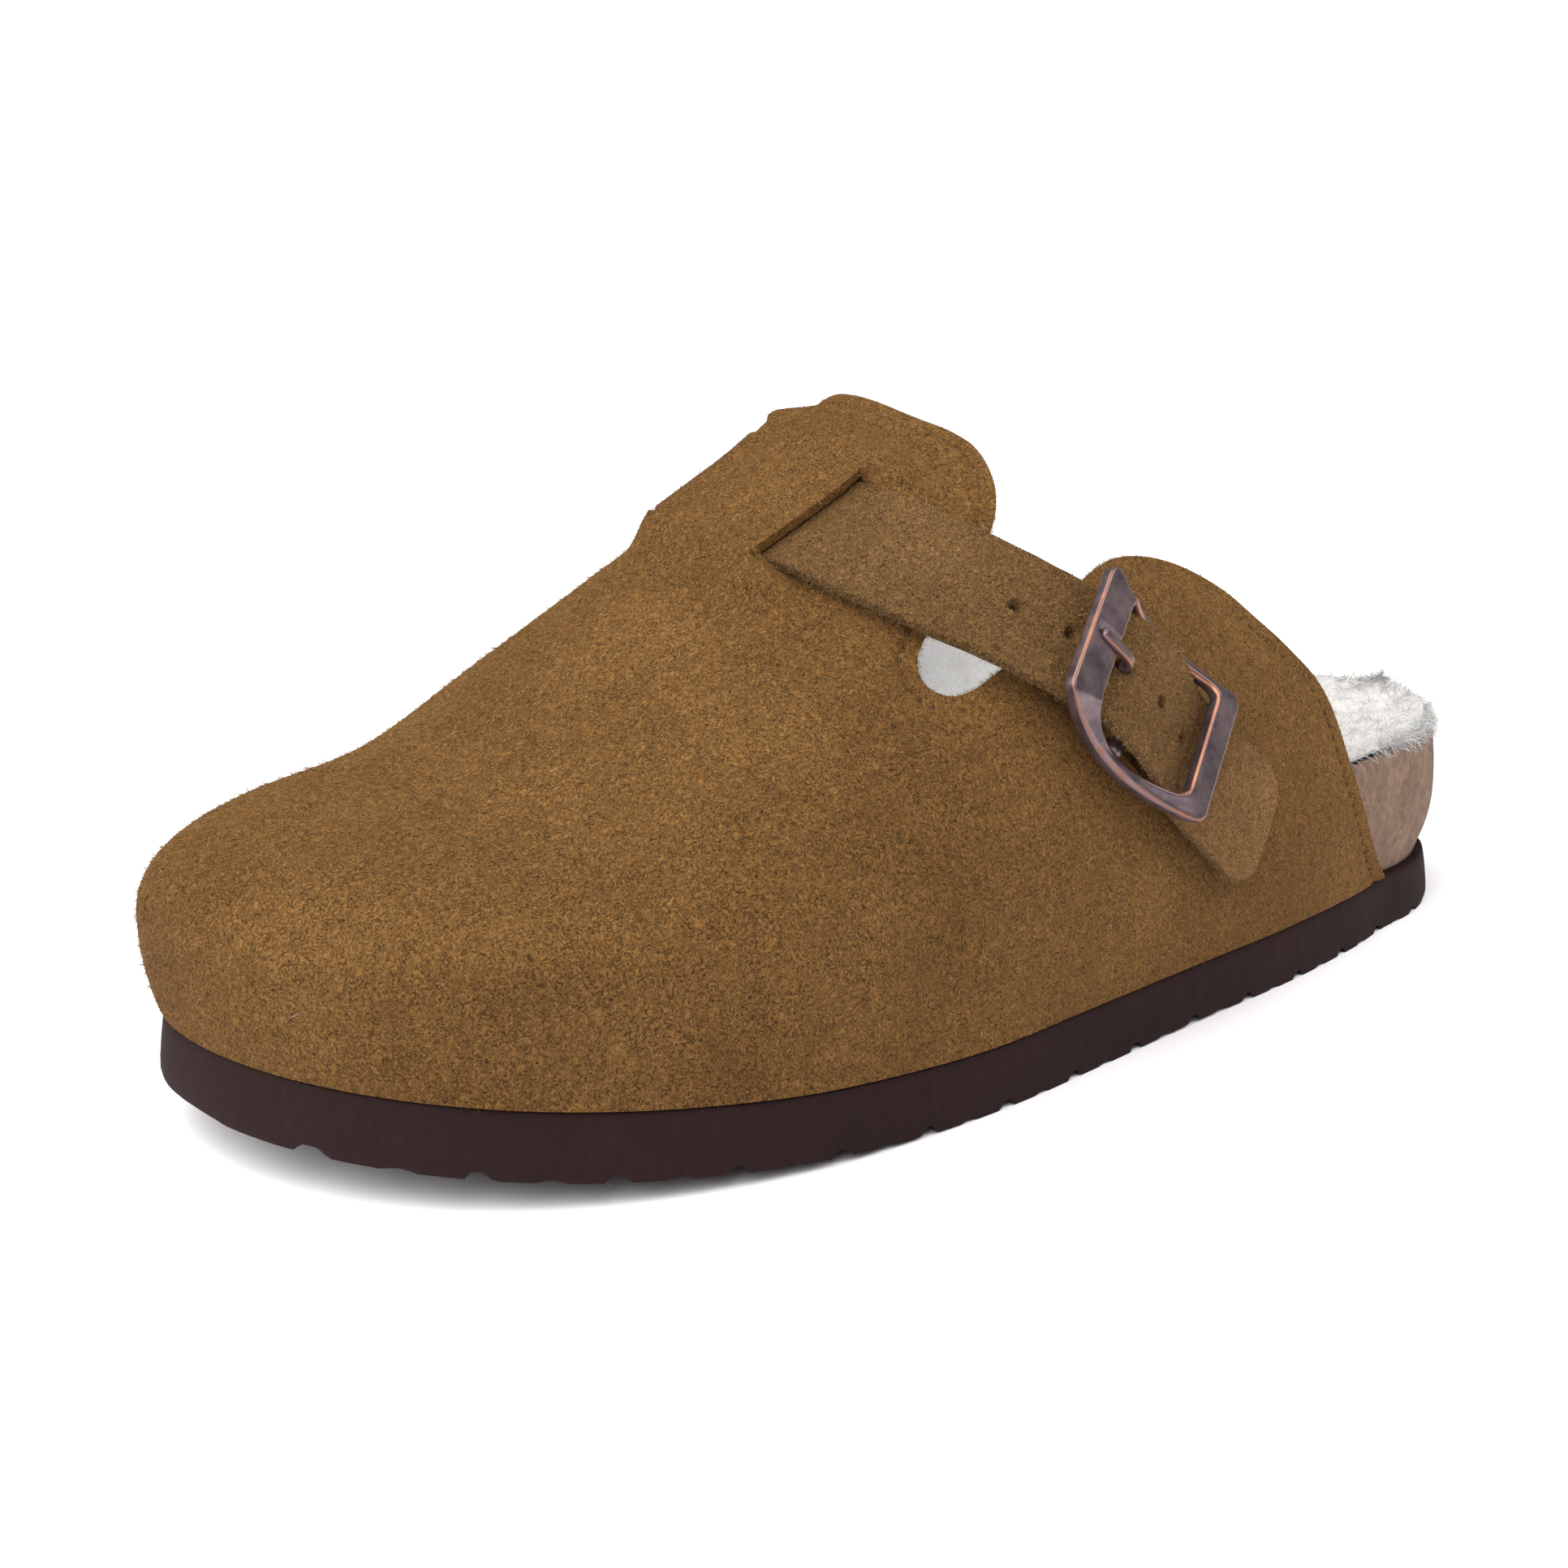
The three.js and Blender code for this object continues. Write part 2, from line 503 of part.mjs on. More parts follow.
// Suede upper: one wall over the whole last, open along the base line and the two slits,
// with the collar, throat notches and wings cut by the topline
function upper() {
  const slitTurn = THREE.MathUtils.radToDeg(SLIT_GAP / (BALL_WIDTH / 2));
  const arch = [
    ...steps(0, SLIT_LATERAL - slitTurn, 6),
    ...steps(SLIT_LATERAL + slitTurn, SLIT_MEDIAL - slitTurn, 3),
    ...steps(SLIT_MEDIAL + slitTurn, 180, 8),
  ];
  const angles = [-2, -1, ...arch, 181, 182];
  const girths = angles.map((angle) => {
    if (angle < 0) return LOWER_SHARE * (1 + angle / 2);
    if (angle > 180) return 1 - LOWER_SHARE * (1 - (angle - 180) / 2);
    return girthOf(angle);
  });
  const local = (distance) => BRIDGE_AT + distance / BRIDGE_SPEED;
  const ramp = SLIT_HALF + BRIDGE_RAMP;
  const behind = [-ramp, -SLIT_HALF - SLIT_FADE, -SLIT_HALF, -STRAP_WIDTH / 2].map(local);
  const ahead = [STRAP_WIDTH / 2, SLIT_HALF, SLIT_HALF + SLIT_FADE, ramp].map(local);
  const rows = [
    ...steps(HEEL_FROM, behind[0], 11).slice(0, -1),
    ...behind,
    ...steps(behind[3], ahead[0], 4).slice(1, -1),
    ...ahead,
    ...TOE_STATIONS.filter((at) => at > ahead[3] + 0.01),
  ];
  const grid = (depth) => rows.map((at) => girths.map((girth, j) => {
    const point = offsetPoint(at, girth, bridgeLift(at, angles[j]) - depth);
    if (girth === 0 || girth === 1) point.z = soleTopAt(point.x / LENGTH) + CLEARANCE;
    return point;
  }));
  const slitRows = [rows.indexOf(behind[2]), rows.indexOf(ahead[1])];
  const slitColumns = [
    angles.indexOf(SLIT_LATERAL - slitTurn),
    angles.indexOf(SLIT_MEDIAL - slitTurn),
  ];
  const keep = (i, j) => !(slitColumns.includes(j) && i >= slitRows[0] && i < slitRows[1]);
  const wall = solidBetween(grid(0), grid(WALL), keep, { first: false, last: true });
  return wall.subtract(collarCut());
}

// Everything behind and above the topline, as a side view cut across the whole shoe
function collarCut() {
  const line = TOPLINE.map(({ at, high }) =>
    new THREE.Vector2(LENGTH * at, SOLE_THICK + INSTEP_HEIGHT * high));
  const crown = SOLE_THICK + INSTEP_HEIGHT * 1.5;
  const back = -LENGTH * 0.1;
  const curve = new THREE.SplineCurve(line).getPoints(2 * (line.length - 1));
  const shape = new THREE.Shape([
    ...curve,
    new THREE.Vector2(line[line.length - 1].x, crown),
    new THREE.Vector2(back, crown),
    new THREE.Vector2(back, line[0].y),
  ]);
  const slab = new THREE.ExtrudeGeometry(shape, { depth: 2 * BALL_WIDTH, bevelEnabled: false });
  slab.rotateX(Math.PI / 2);
  slab.translate(0, BALL_WIDTH, 0);
  return asSolid(slab);
}

// Heights above the last at the pin
const PIN_HEIGHT = CLEARANCE + CHAPE_THICK + CLEARANCE + PIN_RADIUS;
const LOOP_RADIUS = PIN_RADIUS + CLEARANCE + CHAPE_THICK;
const STRAP_OVER_PIN = PIN_HEIGHT + LOOP_RADIUS + CLEARANCE;

// Rise of the strap over the pin, against the distance from the pin in frame lengths
const STRAP_RISE = [
  { at: -1.5, rise: 0 },
  { at: -1.0, rise: 0.12 },
  { at: -0.5, rise: 0.4 },
  { at: -0.31, rise: 0.56 },
  { at: -0.14, rise: 0.92 },
  { at: 0, rise: 1 },
  { at: 0.14, rise: 0.92 },
  { at: 0.31, rise: 0.56 },
  { at: 0.5, rise: 0.42 },
  { at: 0.7, rise: 0.36 },
  { at: 1.0, rise: 0.2 },
];

function strapRise(distance) {
  const share = distance / FRAME_LENGTH;
  return share < STRAP_RISE[0].at ? 0 : between(STRAP_RISE, Math.min(share, 1), 'rise');
}

// Ribs across the strap's path: place, distance from the pin and the directions along, across and out
function strapRibs() {
  const path = new THREE.CatmullRomCurve3(
    STRAP_PATH.map(({ at, angle, lift }) => new THREE.Vector3(at, angle / 180, lift / 180)),
  );
  const count = 4 * (STRAP_PATH.length - 1);
  const ribs = path.getPoints(count).map(({ x: at, y, z }) => {
    const girth = girthOf(180 * y);
    const lift = Math.max(180 * z, 0);
    return { at, girth, lift, point: lastPoint(at, girth), out: lastNormal(at, girth) };
  });
  let travelled = 0;
  ribs.forEach((rib, k) => {
    const ahead = ribs[Math.min(k + 1, count)].point;
    const behind = ribs[Math.max(k - 1, 0)].point;
    rib.along = ahead.clone().sub(behind).projectOnPlane(rib.out).normalize();
    rib.across = rib.out.clone().cross(rib.along);
    travelled += k > 0 ? rib.point.distanceTo(ribs[k - 1].point) : 0;
    rib.distance = travelled;
  });
  const atPin = ribs[4 * PIN_ROW].distance;
  for (const rib of ribs) rib.distance -= atPin;
  return ribs;
}

// Place reached by walking over the last in one direction
function walk(rib, distance) {
  const strides = 4;
  const place = { at: rib.at, girth: rib.girth };
  for (let k = 0; k < strides; k += 1) {
    const { along, round } = lastSlopes(place.at, place.girth);
    const a = along.dot(along);
    const b = along.dot(round);
    const c = round.dot(round);
    const p = rib.across.dot(along);
    const q = rib.across.dot(round);
    const stepAt = (c * p - b * q) / (a * c - b * b);
    const stepRound = (a * q - b * p) / (a * c - b * b);
    const stride = along.multiplyScalar(stepAt).addScaledVector(round, stepRound).length();
    place.at += (stepAt * distance) / strides / stride;
    place.girth += (stepRound * distance) / strides / stride;
  }
  return place;
}

// Band that lies on the last along the strap's ribs, with its underside at a given height
function band(ribs, halfWidth, underside, thick, columns) {
  const surface = (extra) => ribs.map((rib) => steps(1, -1, columns).map((q) => {
    const { at, girth } = walk(rib, q * halfWidth(rib.distance));
    const point = lastPoint(at, girth);
    const drop = Math.max(rib.point.clone().sub(point).dot(rib.out), 0);
    point.addScaledVector(lastNormal(at, girth), underside(rib.distance) + rib.lift + extra);
    return point.addScaledVector(rib.out, drop * strapRise(rib.distance));
  }));
  return solidBetween(surface(thick), surface(0));
}

const RIBS = strapRibs();
const PIN_RIB = RIBS[4 * PIN_ROW];

// Rib at a distance from the pin, between two computed ribs
function ribAt(distance) {
  let k = 0;
  while (k < RIBS.length - 2 && RIBS[k + 1].distance < distance) k += 1;
  const [low, high] = [RIBS[k], RIBS[k + 1]];
  const t = (distance - low.distance) / (high.distance - low.distance);
  const blend = (name) => low[name].clone().lerp(high[name], t);
  return {
    at: mix(low.at, high.at, t),
    girth: mix(low.girth, high.girth, t),
    lift: mix(low.lift, high.lift, t),
    distance,
    point: blend('point'),
    out: blend('out').normalize(),
    along: blend('along').normalize(),
    across: blend('across').normalize(),
  };
}

// Strap: one suede band from the medial wing, under the bridge and through the buckle
function strap() {
  const ends = [RIBS[0].distance, RIBS[RIBS.length - 1].distance];
  const corner = [0, 0.15, 0.4, 0.7, 1].map((share) => STRAP_CORNER * share);
  const inner = RIBS.map((rib) => rib.distance)
    .filter((distance) => distance > ends[0] + STRAP_CORNER + 1 && distance < ends[1] - STRAP_CORNER - 1);
  const distances = [
    ...corner.map((share) => ends[0] + share),
    ...inner,
    ...corner.map((share) => ends[1] - share).reverse(),
  ];
  const halfWidth = (distance) => {
    const left = Math.min(distance - ends[0], ends[1] - distance);
    const cut = clamp(1 - left / STRAP_CORNER, 0, 1);
    return STRAP_WIDTH / 2 - STRAP_CORNER * (1 - Math.sqrt(1 - cut ** 2)) * 0.8;
  };
  const underside = (distance) => CLEARANCE + (STRAP_OVER_PIN - CLEARANCE) * strapRise(distance);
  let solid = band(distances.map(ribAt), halfWidth, underside, STRAP_THICK, 4);
  for (let k = -HOLES_BEFORE; k <= HOLES_AFTER; k += 1) {
    const rib = ribAt(k * HOLE_PITCH - PRONG_REACH);
    const punch = new THREE.CylinderGeometry(STRAP_HOLE / 2, STRAP_HOLE / 2, 5 * STRAP_THICK, 10);
    const axes = new THREE.Matrix4().makeBasis(rib.along, rib.out, rib.across.clone().negate());
    punch.applyMatrix4(axes);
    const middle = underside(rib.distance) + rib.lift + STRAP_THICK / 2;
    const centre = rib.point.clone().addScaledVector(rib.out, middle);
    punch.translate(centre.x, centre.y, centre.z);
    solid = solid.subtract(asSolid(punch));
  }
  return solid;
}

const WINDOW_HALF = STRAP_WIDTH / 2 + FRAME_PLAY;
const WINDOW_FRONT = FRONT_BAR - FRAME_LENGTH / 2;
const WINDOW_REAR = FRAME_LENGTH / 2 - REAR_BAR;

// Share of a side bar's bow and dip at a place along the window: 0 at its ends, 1 at the pin
function bowAt(x) {
  const reach = x < 0 ? WINDOW_FRONT : WINDOW_REAR;
  return Math.max(1 - (x / reach) ** 2, 0);
}

// Frame: flat end bars over the strap, and bowed side bars that dip to carry the pin
function buckleFrame() {
  const half = FRAME_LENGTH / 2;
  const outerHalf = WINDOW_HALF + SIDE_BAR;
  const side = steps(WINDOW_FRONT, WINDOW_REAR, 10);
  const bowed = (x, base) => new THREE.Vector2(x, base + FRAME_BOW * bowAt(x));
  const upperEdge = [
    new THREE.Vector2(-half, outerHalf - FRAME_CORNER),
    new THREE.Vector2(FRAME_CORNER - half, outerHalf),
    ...side.map((x) => bowed(x, outerHalf)),
    new THREE.Vector2(half - FRAME_CORNER, outerHalf),
    new THREE.Vector2(half, outerHalf - FRAME_CORNER),
  ];
  const windowEdge = side.map((x) => bowed(x, WINDOW_HALF));
  const mirrored = (line) => line.map(({ x, y }) => new THREE.Vector2(x, -y)).reverse();
  const counterclockwise = (line) => [...line, ...mirrored(line)].reverse();
  const shape = new THREE.Shape(counterclockwise(upperEdge));
  shape.holes.push(new THREE.Path(counterclockwise(windowEdge)));
  const plate = new THREE.ExtrudeGeometry(shape, {
    depth: FRAME_THICK - 2 * FRAME_EDGE,
    bevelThickness: FRAME_EDGE,
    bevelSize: FRAME_EDGE,
    bevelOffset: -FRAME_EDGE,
    bevelSegments: 1,
  });
  plate.translate(0, 0, BAR_HEIGHT + FRAME_EDGE);
  const dip = BAR_HEIGHT + FRAME_THICK / 2 - PIN_HEIGHT;
  const place = plate.attributes.position;
  for (let k = 0; k < place.count; k += 1) {
    place.setZ(k, place.getZ(k) - dip * bowAt(place.getX(k)));
  }
  return asSolid(plate);
}

function bucklePin() {
  const length = 2 * (WINDOW_HALF + FRAME_BOW - CLEARANCE);
  const rod = new THREE.CylinderGeometry(PIN_RADIUS, PIN_RADIUS, length, 14);
  rod.translate(0, 0, PIN_HEIGHT);
  return asSolid(rod);
}

// Ring round the pin, as wide as asked
function pinLoop(width) {
  const shape = new THREE.Shape().absarc(0, 0, LOOP_RADIUS, 0, 2 * Math.PI);
  shape.holes.push(new THREE.Path().absarc(0, 0, PIN_RADIUS + CLEARANCE, 0, 2 * Math.PI));
  const options = { depth: width, bevelEnabled: false, curveSegments: 16 };
  const loop = new THREE.ExtrudeGeometry(shape, options);
  loop.rotateX(Math.PI / 2);
  loop.translate(0, width / 2, PIN_HEIGHT);
  return asSolid(loop);
}

// Prong: looped on the pin, up through the strap's hole and over the front bar
function buckleProng() {
  const rest = BAR_HEIGHT + FRAME_THICK + CLEARANCE + PRONG_RADIUS;
  const route = [
    [-LOOP_RADIUS + 0.4, PIN_HEIGHT],
    [-0.62 * PRONG_REACH, PIN_HEIGHT - 0.5],
    [-0.9 * PRONG_REACH, PIN_HEIGHT - 0.2],
    [-PRONG_REACH - 0.1, PIN_HEIGHT + 1.4],
    [-PRONG_REACH - 0.5, BAR_HEIGHT + 1.2],
    [-PRONG_REACH - 1.3, rest - 0.3],
    [-PRONG_REACH - 2.8, rest],
    [-FRAME_LENGTH / 2 + 2.6, rest - 0.05],
  ];
  const curve = new THREE.CatmullRomCurve3(route.map(([x, z]) => new THREE.Vector3(x, 0, z)));
  const section = new THREE.Shape(
    steps(0, 2 * Math.PI, 8).slice(0, -1)
      .map((turn) => new THREE.Vector2(PRONG_RADIUS * Math.cos(turn), PRONG_RADIUS * Math.sin(turn))),
  );
  const arm = new THREE.ExtrudeGeometry(section, { steps: 30, extrudePath: curve });
  return pinLoop(2 * PRONG_RADIUS).add(asSolid(arm));
}

// Chape: leather folded round the pin, slotted for the prong and sewn down on the wing
function buckleChape() {
  const ribs = steps(0, CHAPE_LENGTH, 6).map(ribAt);
  const tab = band(ribs, () => CHAPE_WIDTH / 2, () => CLEARANCE, 2 * CHAPE_THICK, 4);
  const toPin = pinAxes();
  const slot = new THREE.BoxGeometry(4 * LOOP_RADIUS, 2 * (PRONG_RADIUS + CLEARANCE), 6 * LOOP_RADIUS);
  slot.applyMatrix4(toPin);
  const boreRadius = PIN_RADIUS + CLEARANCE;
  const bore = new THREE.CylinderGeometry(boreRadius, boreRadius, 2 * CHAPE_WIDTH, 16);
  bore.translate(0, 0, PIN_HEIGHT);
  bore.applyMatrix4(toPin);
  const loop = pinLoop(CHAPE_WIDTH).transform(toPin.elements);
  return tab.add(loop).subtract(asSolid(slot)).subtract(asSolid(bore));
}

// Axes of the buckle: along the strap, across it, and out from the last at the pin
function pinAxes() {
  const { along, across, out, point } = PIN_RIB;
  return new THREE.Matrix4().makeBasis(along, across, out).setPosition(point);
}

const SUEDE = 0x8a6a3c;
const COPPER = 0x6b4a45;

const shoe = new THREE.Group();
shoe.add(
  piece('outsole', outsole(), 0x3a2422, 0.75),
  piece('footbed', footbed(), 0x9a7f63, 0.9),
  piece('insole', insole(), 0xeeece6, 1),
  piece('upper', upper(), SUEDE, 0.95),
  piece('strap', strap(), SUEDE, 0.95),
  piece('buckle_chape', buckleChape(), SUEDE, 0.95),
);

const buckle = new THREE.Group();
buckle.add(
  piece('buckle_frame', buckleFrame(), COPPER, 0.4, 1),
  piece('buckle_pin', bucklePin(), COPPER, 0.4, 1),
  piece('buckle_prong', buckleProng(), COPPER, 0.4, 1),
);
buckle.applyMatrix4(pinAxes());
shoe.add(buckle);

// The origin lies under the middle of the whole shoe
shoe.updateMatrixWorld(true);
const extent = new THREE.Box3().setFromObject(shoe, true);
const middle = extent.getCenter(new THREE.Vector3());
shoe.position.set(-middle.x, -middle.y, -extent.min.z);

export default shoe;
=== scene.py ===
"""Clog slipper for the left foot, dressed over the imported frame.

The shoe's own millimetres run from the outsole's heel end (x), its centre line (y) and the floor (z).
Each piece is worked out in them and set into the frame in metres, toe toward +X, buckle side toward +Y.
"""

import bmesh
import bpy
import numpy as np
from mathutils import Matrix, Vector


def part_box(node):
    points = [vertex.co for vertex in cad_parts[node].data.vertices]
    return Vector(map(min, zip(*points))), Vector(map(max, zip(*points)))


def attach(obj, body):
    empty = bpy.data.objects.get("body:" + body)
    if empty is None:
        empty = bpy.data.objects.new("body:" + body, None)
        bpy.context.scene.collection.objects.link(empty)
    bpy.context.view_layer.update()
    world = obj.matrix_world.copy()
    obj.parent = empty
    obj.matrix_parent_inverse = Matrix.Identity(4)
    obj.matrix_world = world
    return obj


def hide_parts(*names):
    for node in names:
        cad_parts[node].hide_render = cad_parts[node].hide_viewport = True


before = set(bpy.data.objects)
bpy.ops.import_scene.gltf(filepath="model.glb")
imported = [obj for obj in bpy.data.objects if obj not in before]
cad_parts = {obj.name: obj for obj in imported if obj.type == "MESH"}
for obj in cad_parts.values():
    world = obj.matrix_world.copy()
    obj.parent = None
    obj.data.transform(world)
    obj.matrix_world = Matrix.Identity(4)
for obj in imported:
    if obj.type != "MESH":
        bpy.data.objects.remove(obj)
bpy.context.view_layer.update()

# ---- Studio
# A white floor that runs out of sight under a white backdrop, one broad lamp overhead from the toe
# side and a small one that lights the buckle. The camera stands low, in front of the outer side of the toe.

CAMERA_AZIMUTH = 143.387  # degrees
CAMERA_ELEVATION = 14.7
CAMERA_PLACE = (0.2253, 0.25966, 0.1295)
LENS = 44.449  # mm on a 36 mm wide picture


def linear(code):
    """Linear red, green, blue and alpha of an sRGB hex colour."""
    share = np.array([int(code[k:k + 2], 16) for k in (1, 3, 5)]) / 255
    low, high = share / 12.92, ((share + 0.055) / 1.055) ** 2.4
    return (*np.where(share <= 0.04045, low, high), 1.0)


def add(tree, kind, settings=None, **sockets):
    """New node with its settings. A socket takes a value, or (node, output) to link; _ stands for a space."""
    node = tree.nodes.new(kind)
    for name, value in (settings or {}).items():
        setattr(node, name, value)
    for name, value in sockets.items():
        name = name.replace("_", " ")
        socket = node.inputs[int(name[1:])] if name[0] == "n" and name[1:].isdigit() else node.inputs[name]
        if isinstance(value, tuple) and isinstance(value[0], bpy.types.Node):
            tree.links.new(value[0].outputs[value[1]], socket)
        else:
            socket.default_value = value
    return node


def finish(name, colour, roughness, **shader):
    """Material with one Principled shader; returns the material, its node tree and the shader."""
    material = bpy.data.materials.new(name)
    material.use_nodes = True
    tree = material.node_tree
    surface = tree.nodes["Principled BSDF"]
    surface.inputs["Base Color"].default_value = linear(colour)
    surface.inputs["Roughness"].default_value = roughness
    for socket, value in shader.items():
        surface.inputs[socket.replace("_", " ")].default_value = value
    return material, tree, surface


camera = bpy.data.objects.new("camera", bpy.data.cameras.new("camera"))
camera.data.lens = LENS
camera.data.sensor_width = 36
camera.data.clip_start = 0.01
turn, lift = np.radians(CAMERA_AZIMUTH), np.radians(CAMERA_ELEVATION)
back = Vector((np.sin(turn) * np.cos(lift), -np.cos(turn) * np.cos(lift), np.sin(lift)))
right = Vector((np.cos(turn), np.sin(turn), 0))
facing = Matrix((right, back.cross(right), back)).transposed()
camera.matrix_world = Matrix.Translation(CAMERA_PLACE) @ facing.to_4x4()
bpy.context.collection.objects.link(camera)
bpy.context.scene.camera = camera

paper, _, _ = finish("matt_white_paper", "#fbfafd", 0.9)
floor_mesh = bpy.data.meshes.new("floor")
floor_mesh.from_pydata([(-6, -6, 0), (6, -6, 0), (6, 6, 0), (-6, 6, 0)], [], [(0, 1, 2, 3)])
floor_mesh.materials.append(paper)
floor = bpy.data.objects.new("floor", floor_mesh)
bpy.context.collection.objects.link(floor)

sky = bpy.data.worlds.new("sky")
sky.use_nodes = True
dim = sky.node_tree.nodes["Background"]
dim.inputs["Color"].default_value = (0.97, 0.98, 1.0, 1.0)
dim.inputs["Strength"].default_value = 0.3
seen = add(sky.node_tree, "ShaderNodeBackground", Color=(1.0, 1.0, 1.0, 1.0), Strength=1.05)
ray = add(sky.node_tree, "ShaderNodeLightPath")
backdrop = add(sky.node_tree, "ShaderNodeMixShader", n0=(ray, "Is Camera Ray"),
               n1=(dim, "Background"), n2=(seen, "Background"))
sky.node_tree.links.new(backdrop.outputs["Shader"], sky.node_tree.nodes["World Output"].inputs["Surface"])
bpy.context.scene.world = sky
bpy.context.scene.view_settings.view_transform = "Standard"


def lamp(name, kind, place, target, watts, colour, **shape):
    """Lamp of a kind at a place, facing a target, in metres."""
    light = bpy.data.lights.new(name, kind)
    light.energy, light.color = watts, colour
    for setting, value in shape.items():
        setattr(light, setting, value)
    made = bpy.data.objects.new(name, light)
    made.location = place
    made.rotation_euler = (Vector(target) - Vector(place)).to_track_quat("-Z", "Y").to_euler()
    bpy.context.collection.objects.link(made)


lamp("lamp_overhead", "SUN", (0.62, 0.0, 0.85), (0, 0, 0), 5.3, (1.0, 0.985, 0.97), angle=np.radians(85))
lamp("lamp_behind", "AREA", (-0.45, 0.5, 0.65), (-0.01, -0.01, 0.05), 2.8, (1.0, 0.98, 0.96), size=0.4)

# ---- Outsole
# One slab of dark brown foam rubber, cut to the outline with a slightly flared edge and left matt
# from the mould, with fine upright marks of the trimming wheel. Grooves run across the tread.

LENGTH, BALL_WIDTH, INSTEP_HEIGHT = 275.0, 101.5, 99.5
CENTRE_SHIFT = -3.766  # mm, the shoe's centre line in the frame
SOLE_THICK, SOLE_FLARE = 10.5, 1.2
TOE_SPRING, SPRING_FROM, SPRING_POWER = 8.0, 0.6, 1.5
ARCH_LIFT, ARCH_FROM, ARCH_TO = 0.6, 0.3, 0.5
TOE_FROM, HEEL_FROM, TOE_ROUND = 0.71, 0.13, 2.1
GROOVE_DEPTH, GROOVE_WIDTH, GROOVE_COUNT, TREAD_MARGIN = 1.3, 3.2, 15, 9.0
# Columns: place along the length, centre line, lateral and medial half widths, all shares
OUTLINE = np.array([
    [0.0, 0.0, 0.31, 0.305], [0.13, 0.0, 0.33, 0.31], [0.2, 0.0, 0.379, 0.325],
    [0.3, 0.0, 0.429, 0.33], [0.4, 0.0, 0.463, 0.335], [0.5, 0.0, 0.498, 0.355],
    [0.6, -0.01, 0.542, 0.389], [0.7, -0.039, 0.576, 0.424], [0.8, -0.074, 0.591, 0.424],
    [0.9, -0.103, 0.601, 0.424], [1.0, -0.138, 0.606, 0.424],
])


def between(table, at, column):
    """Cubic through each pair of a table's rows, with slopes taken from the neighbouring rows."""
    x, y = table[:, 0], table[:, column]
    row = np.arange(len(x))
    low, high = np.maximum(row - 1, 0), np.minimum(row + 1, len(x) - 1)
    slope = (y[high] - y[low]) / (x[high] - x[low])
    k = np.clip(np.searchsorted(x, at, side="right") - 1, 0, len(x) - 2)
    span, rise = x[k + 1] - x[k], y[k + 1] - y[k]
    t, s0, s1 = (at - x[k]) / span, slope[k] * span, slope[k + 1] * span
    return y[k] + t * (s0 + t * (3 * rise - 2 * s0 - s1 + t * (s0 + s1 - 2 * rise)))


def rounding(share, power):
    """Width toward an end: the power-th root of one less the share to that power."""
    return (1 - np.clip(share, 0, 1) ** power) ** (1 / power)


def smooth(t):
    """Smooth step from 0 to 1."""
    t = np.clip(t, 0, 1)
    return t * t * (3 - 2 * t)


def spring(at):
    """Lift toward the toe, a power of the way past the ball."""
    return TOE_SPRING * np.clip((at - SPRING_FROM) / (1 - SPRING_FROM), 0, 1) ** SPRING_POWER


def sole_top(at):
    """Height of the outsole's top."""
    return spring(at) + SOLE_THICK


def hair(places, seed=7):
    """Smooth pseudo-random value from -1 to 1 at each place: a sum of sines in fixed odd directions."""
    rng = np.random.default_rng(seed)
    waves = rng.normal(size=(14, places.shape[-1])) * rng.uniform(0.4, 1.6, (14, 1))
    shifts = rng.uniform(0, 2 * np.pi, 14)
    return np.sin(places @ waves.T + shifts).mean(-1) * 2


def quads_of(grid, closed=False):
    """Quads over a grid of vertex numbers, closed round its columns if asked."""
    right_of = np.roll(grid, -1, 1) if closed else grid[:, 1:]
    left_of = grid if closed else grid[:, :-1]
    return np.stack([left_of[:-1], right_of[:-1], right_of[1:], left_of[1:]], -1).reshape(-1, 4)


def piece(name, points, faces, material, replaced=(), sharp=40.0, merge=True):
    """Mesh object from the shoe's millimetres: doubles merged, smooth but for edges sharper than asked."""
    place = (np.asarray(points, float).reshape(-1, 3) + (0, CENTRE_SHIFT, 0)) / 1000
    place[:, 0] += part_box("outsole")[0].x
    mesh = bpy.data.meshes.new(name)
    mesh.from_pydata(place.tolist(), [], np.asarray(faces).tolist())
    if merge:
        work = bmesh.new()
        work.from_mesh(mesh)
        bmesh.ops.remove_doubles(work, verts=work.verts, dist=2e-6)
        bmesh.ops.dissolve_degenerate(work, edges=work.edges, dist=1e-7)
        work.to_mesh(mesh)
        work.free()
    mesh.validate()
    mesh.shade_smooth()
    if sharp is not None:
        mesh.set_sharp_from_angle(angle=np.radians(sharp))
    mesh.materials.append(material)
    made = bpy.data.objects.new(name, mesh)
    bpy.context.collection.objects.link(made)
    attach(made, "root")
    if replaced:
        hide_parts(*replaced)
    return made


def sole_rings(stations, inset, height):
    """Outline at one level: for each station the five shares across, from lateral to medial edge."""
    toe = np.clip((stations - TOE_FROM) / (1 - TOE_FROM), 0, 1)
    heel = np.clip((HEEL_FROM - stations) / HEEL_FROM, 0, 1)
    round_ = rounding(toe, TOE_ROUND) * rounding(heel, 2)
    inset = inset + 0 * stations
    x = LENGTH * stations + inset * (rounding(1 - heel, 2) * (heel > 0) - rounding(1 - toe, 2) * (toe > 0))
    across = SOLE_ACROSS[None, :]
    lateral, medial = (between(OUTLINE, stations, column)[:, None] for column in (2, 3))
    width = (BALL_WIDTH * np.where(across > 0, lateral, medial) - inset[:, None]) * round_[:, None]
    y = BALL_WIDTH * between(OUTLINE, stations, 1)[:, None] + across * width
    return np.stack([np.broadcast_to(x[:, None], y.shape), y, height + 0 * y], -1)


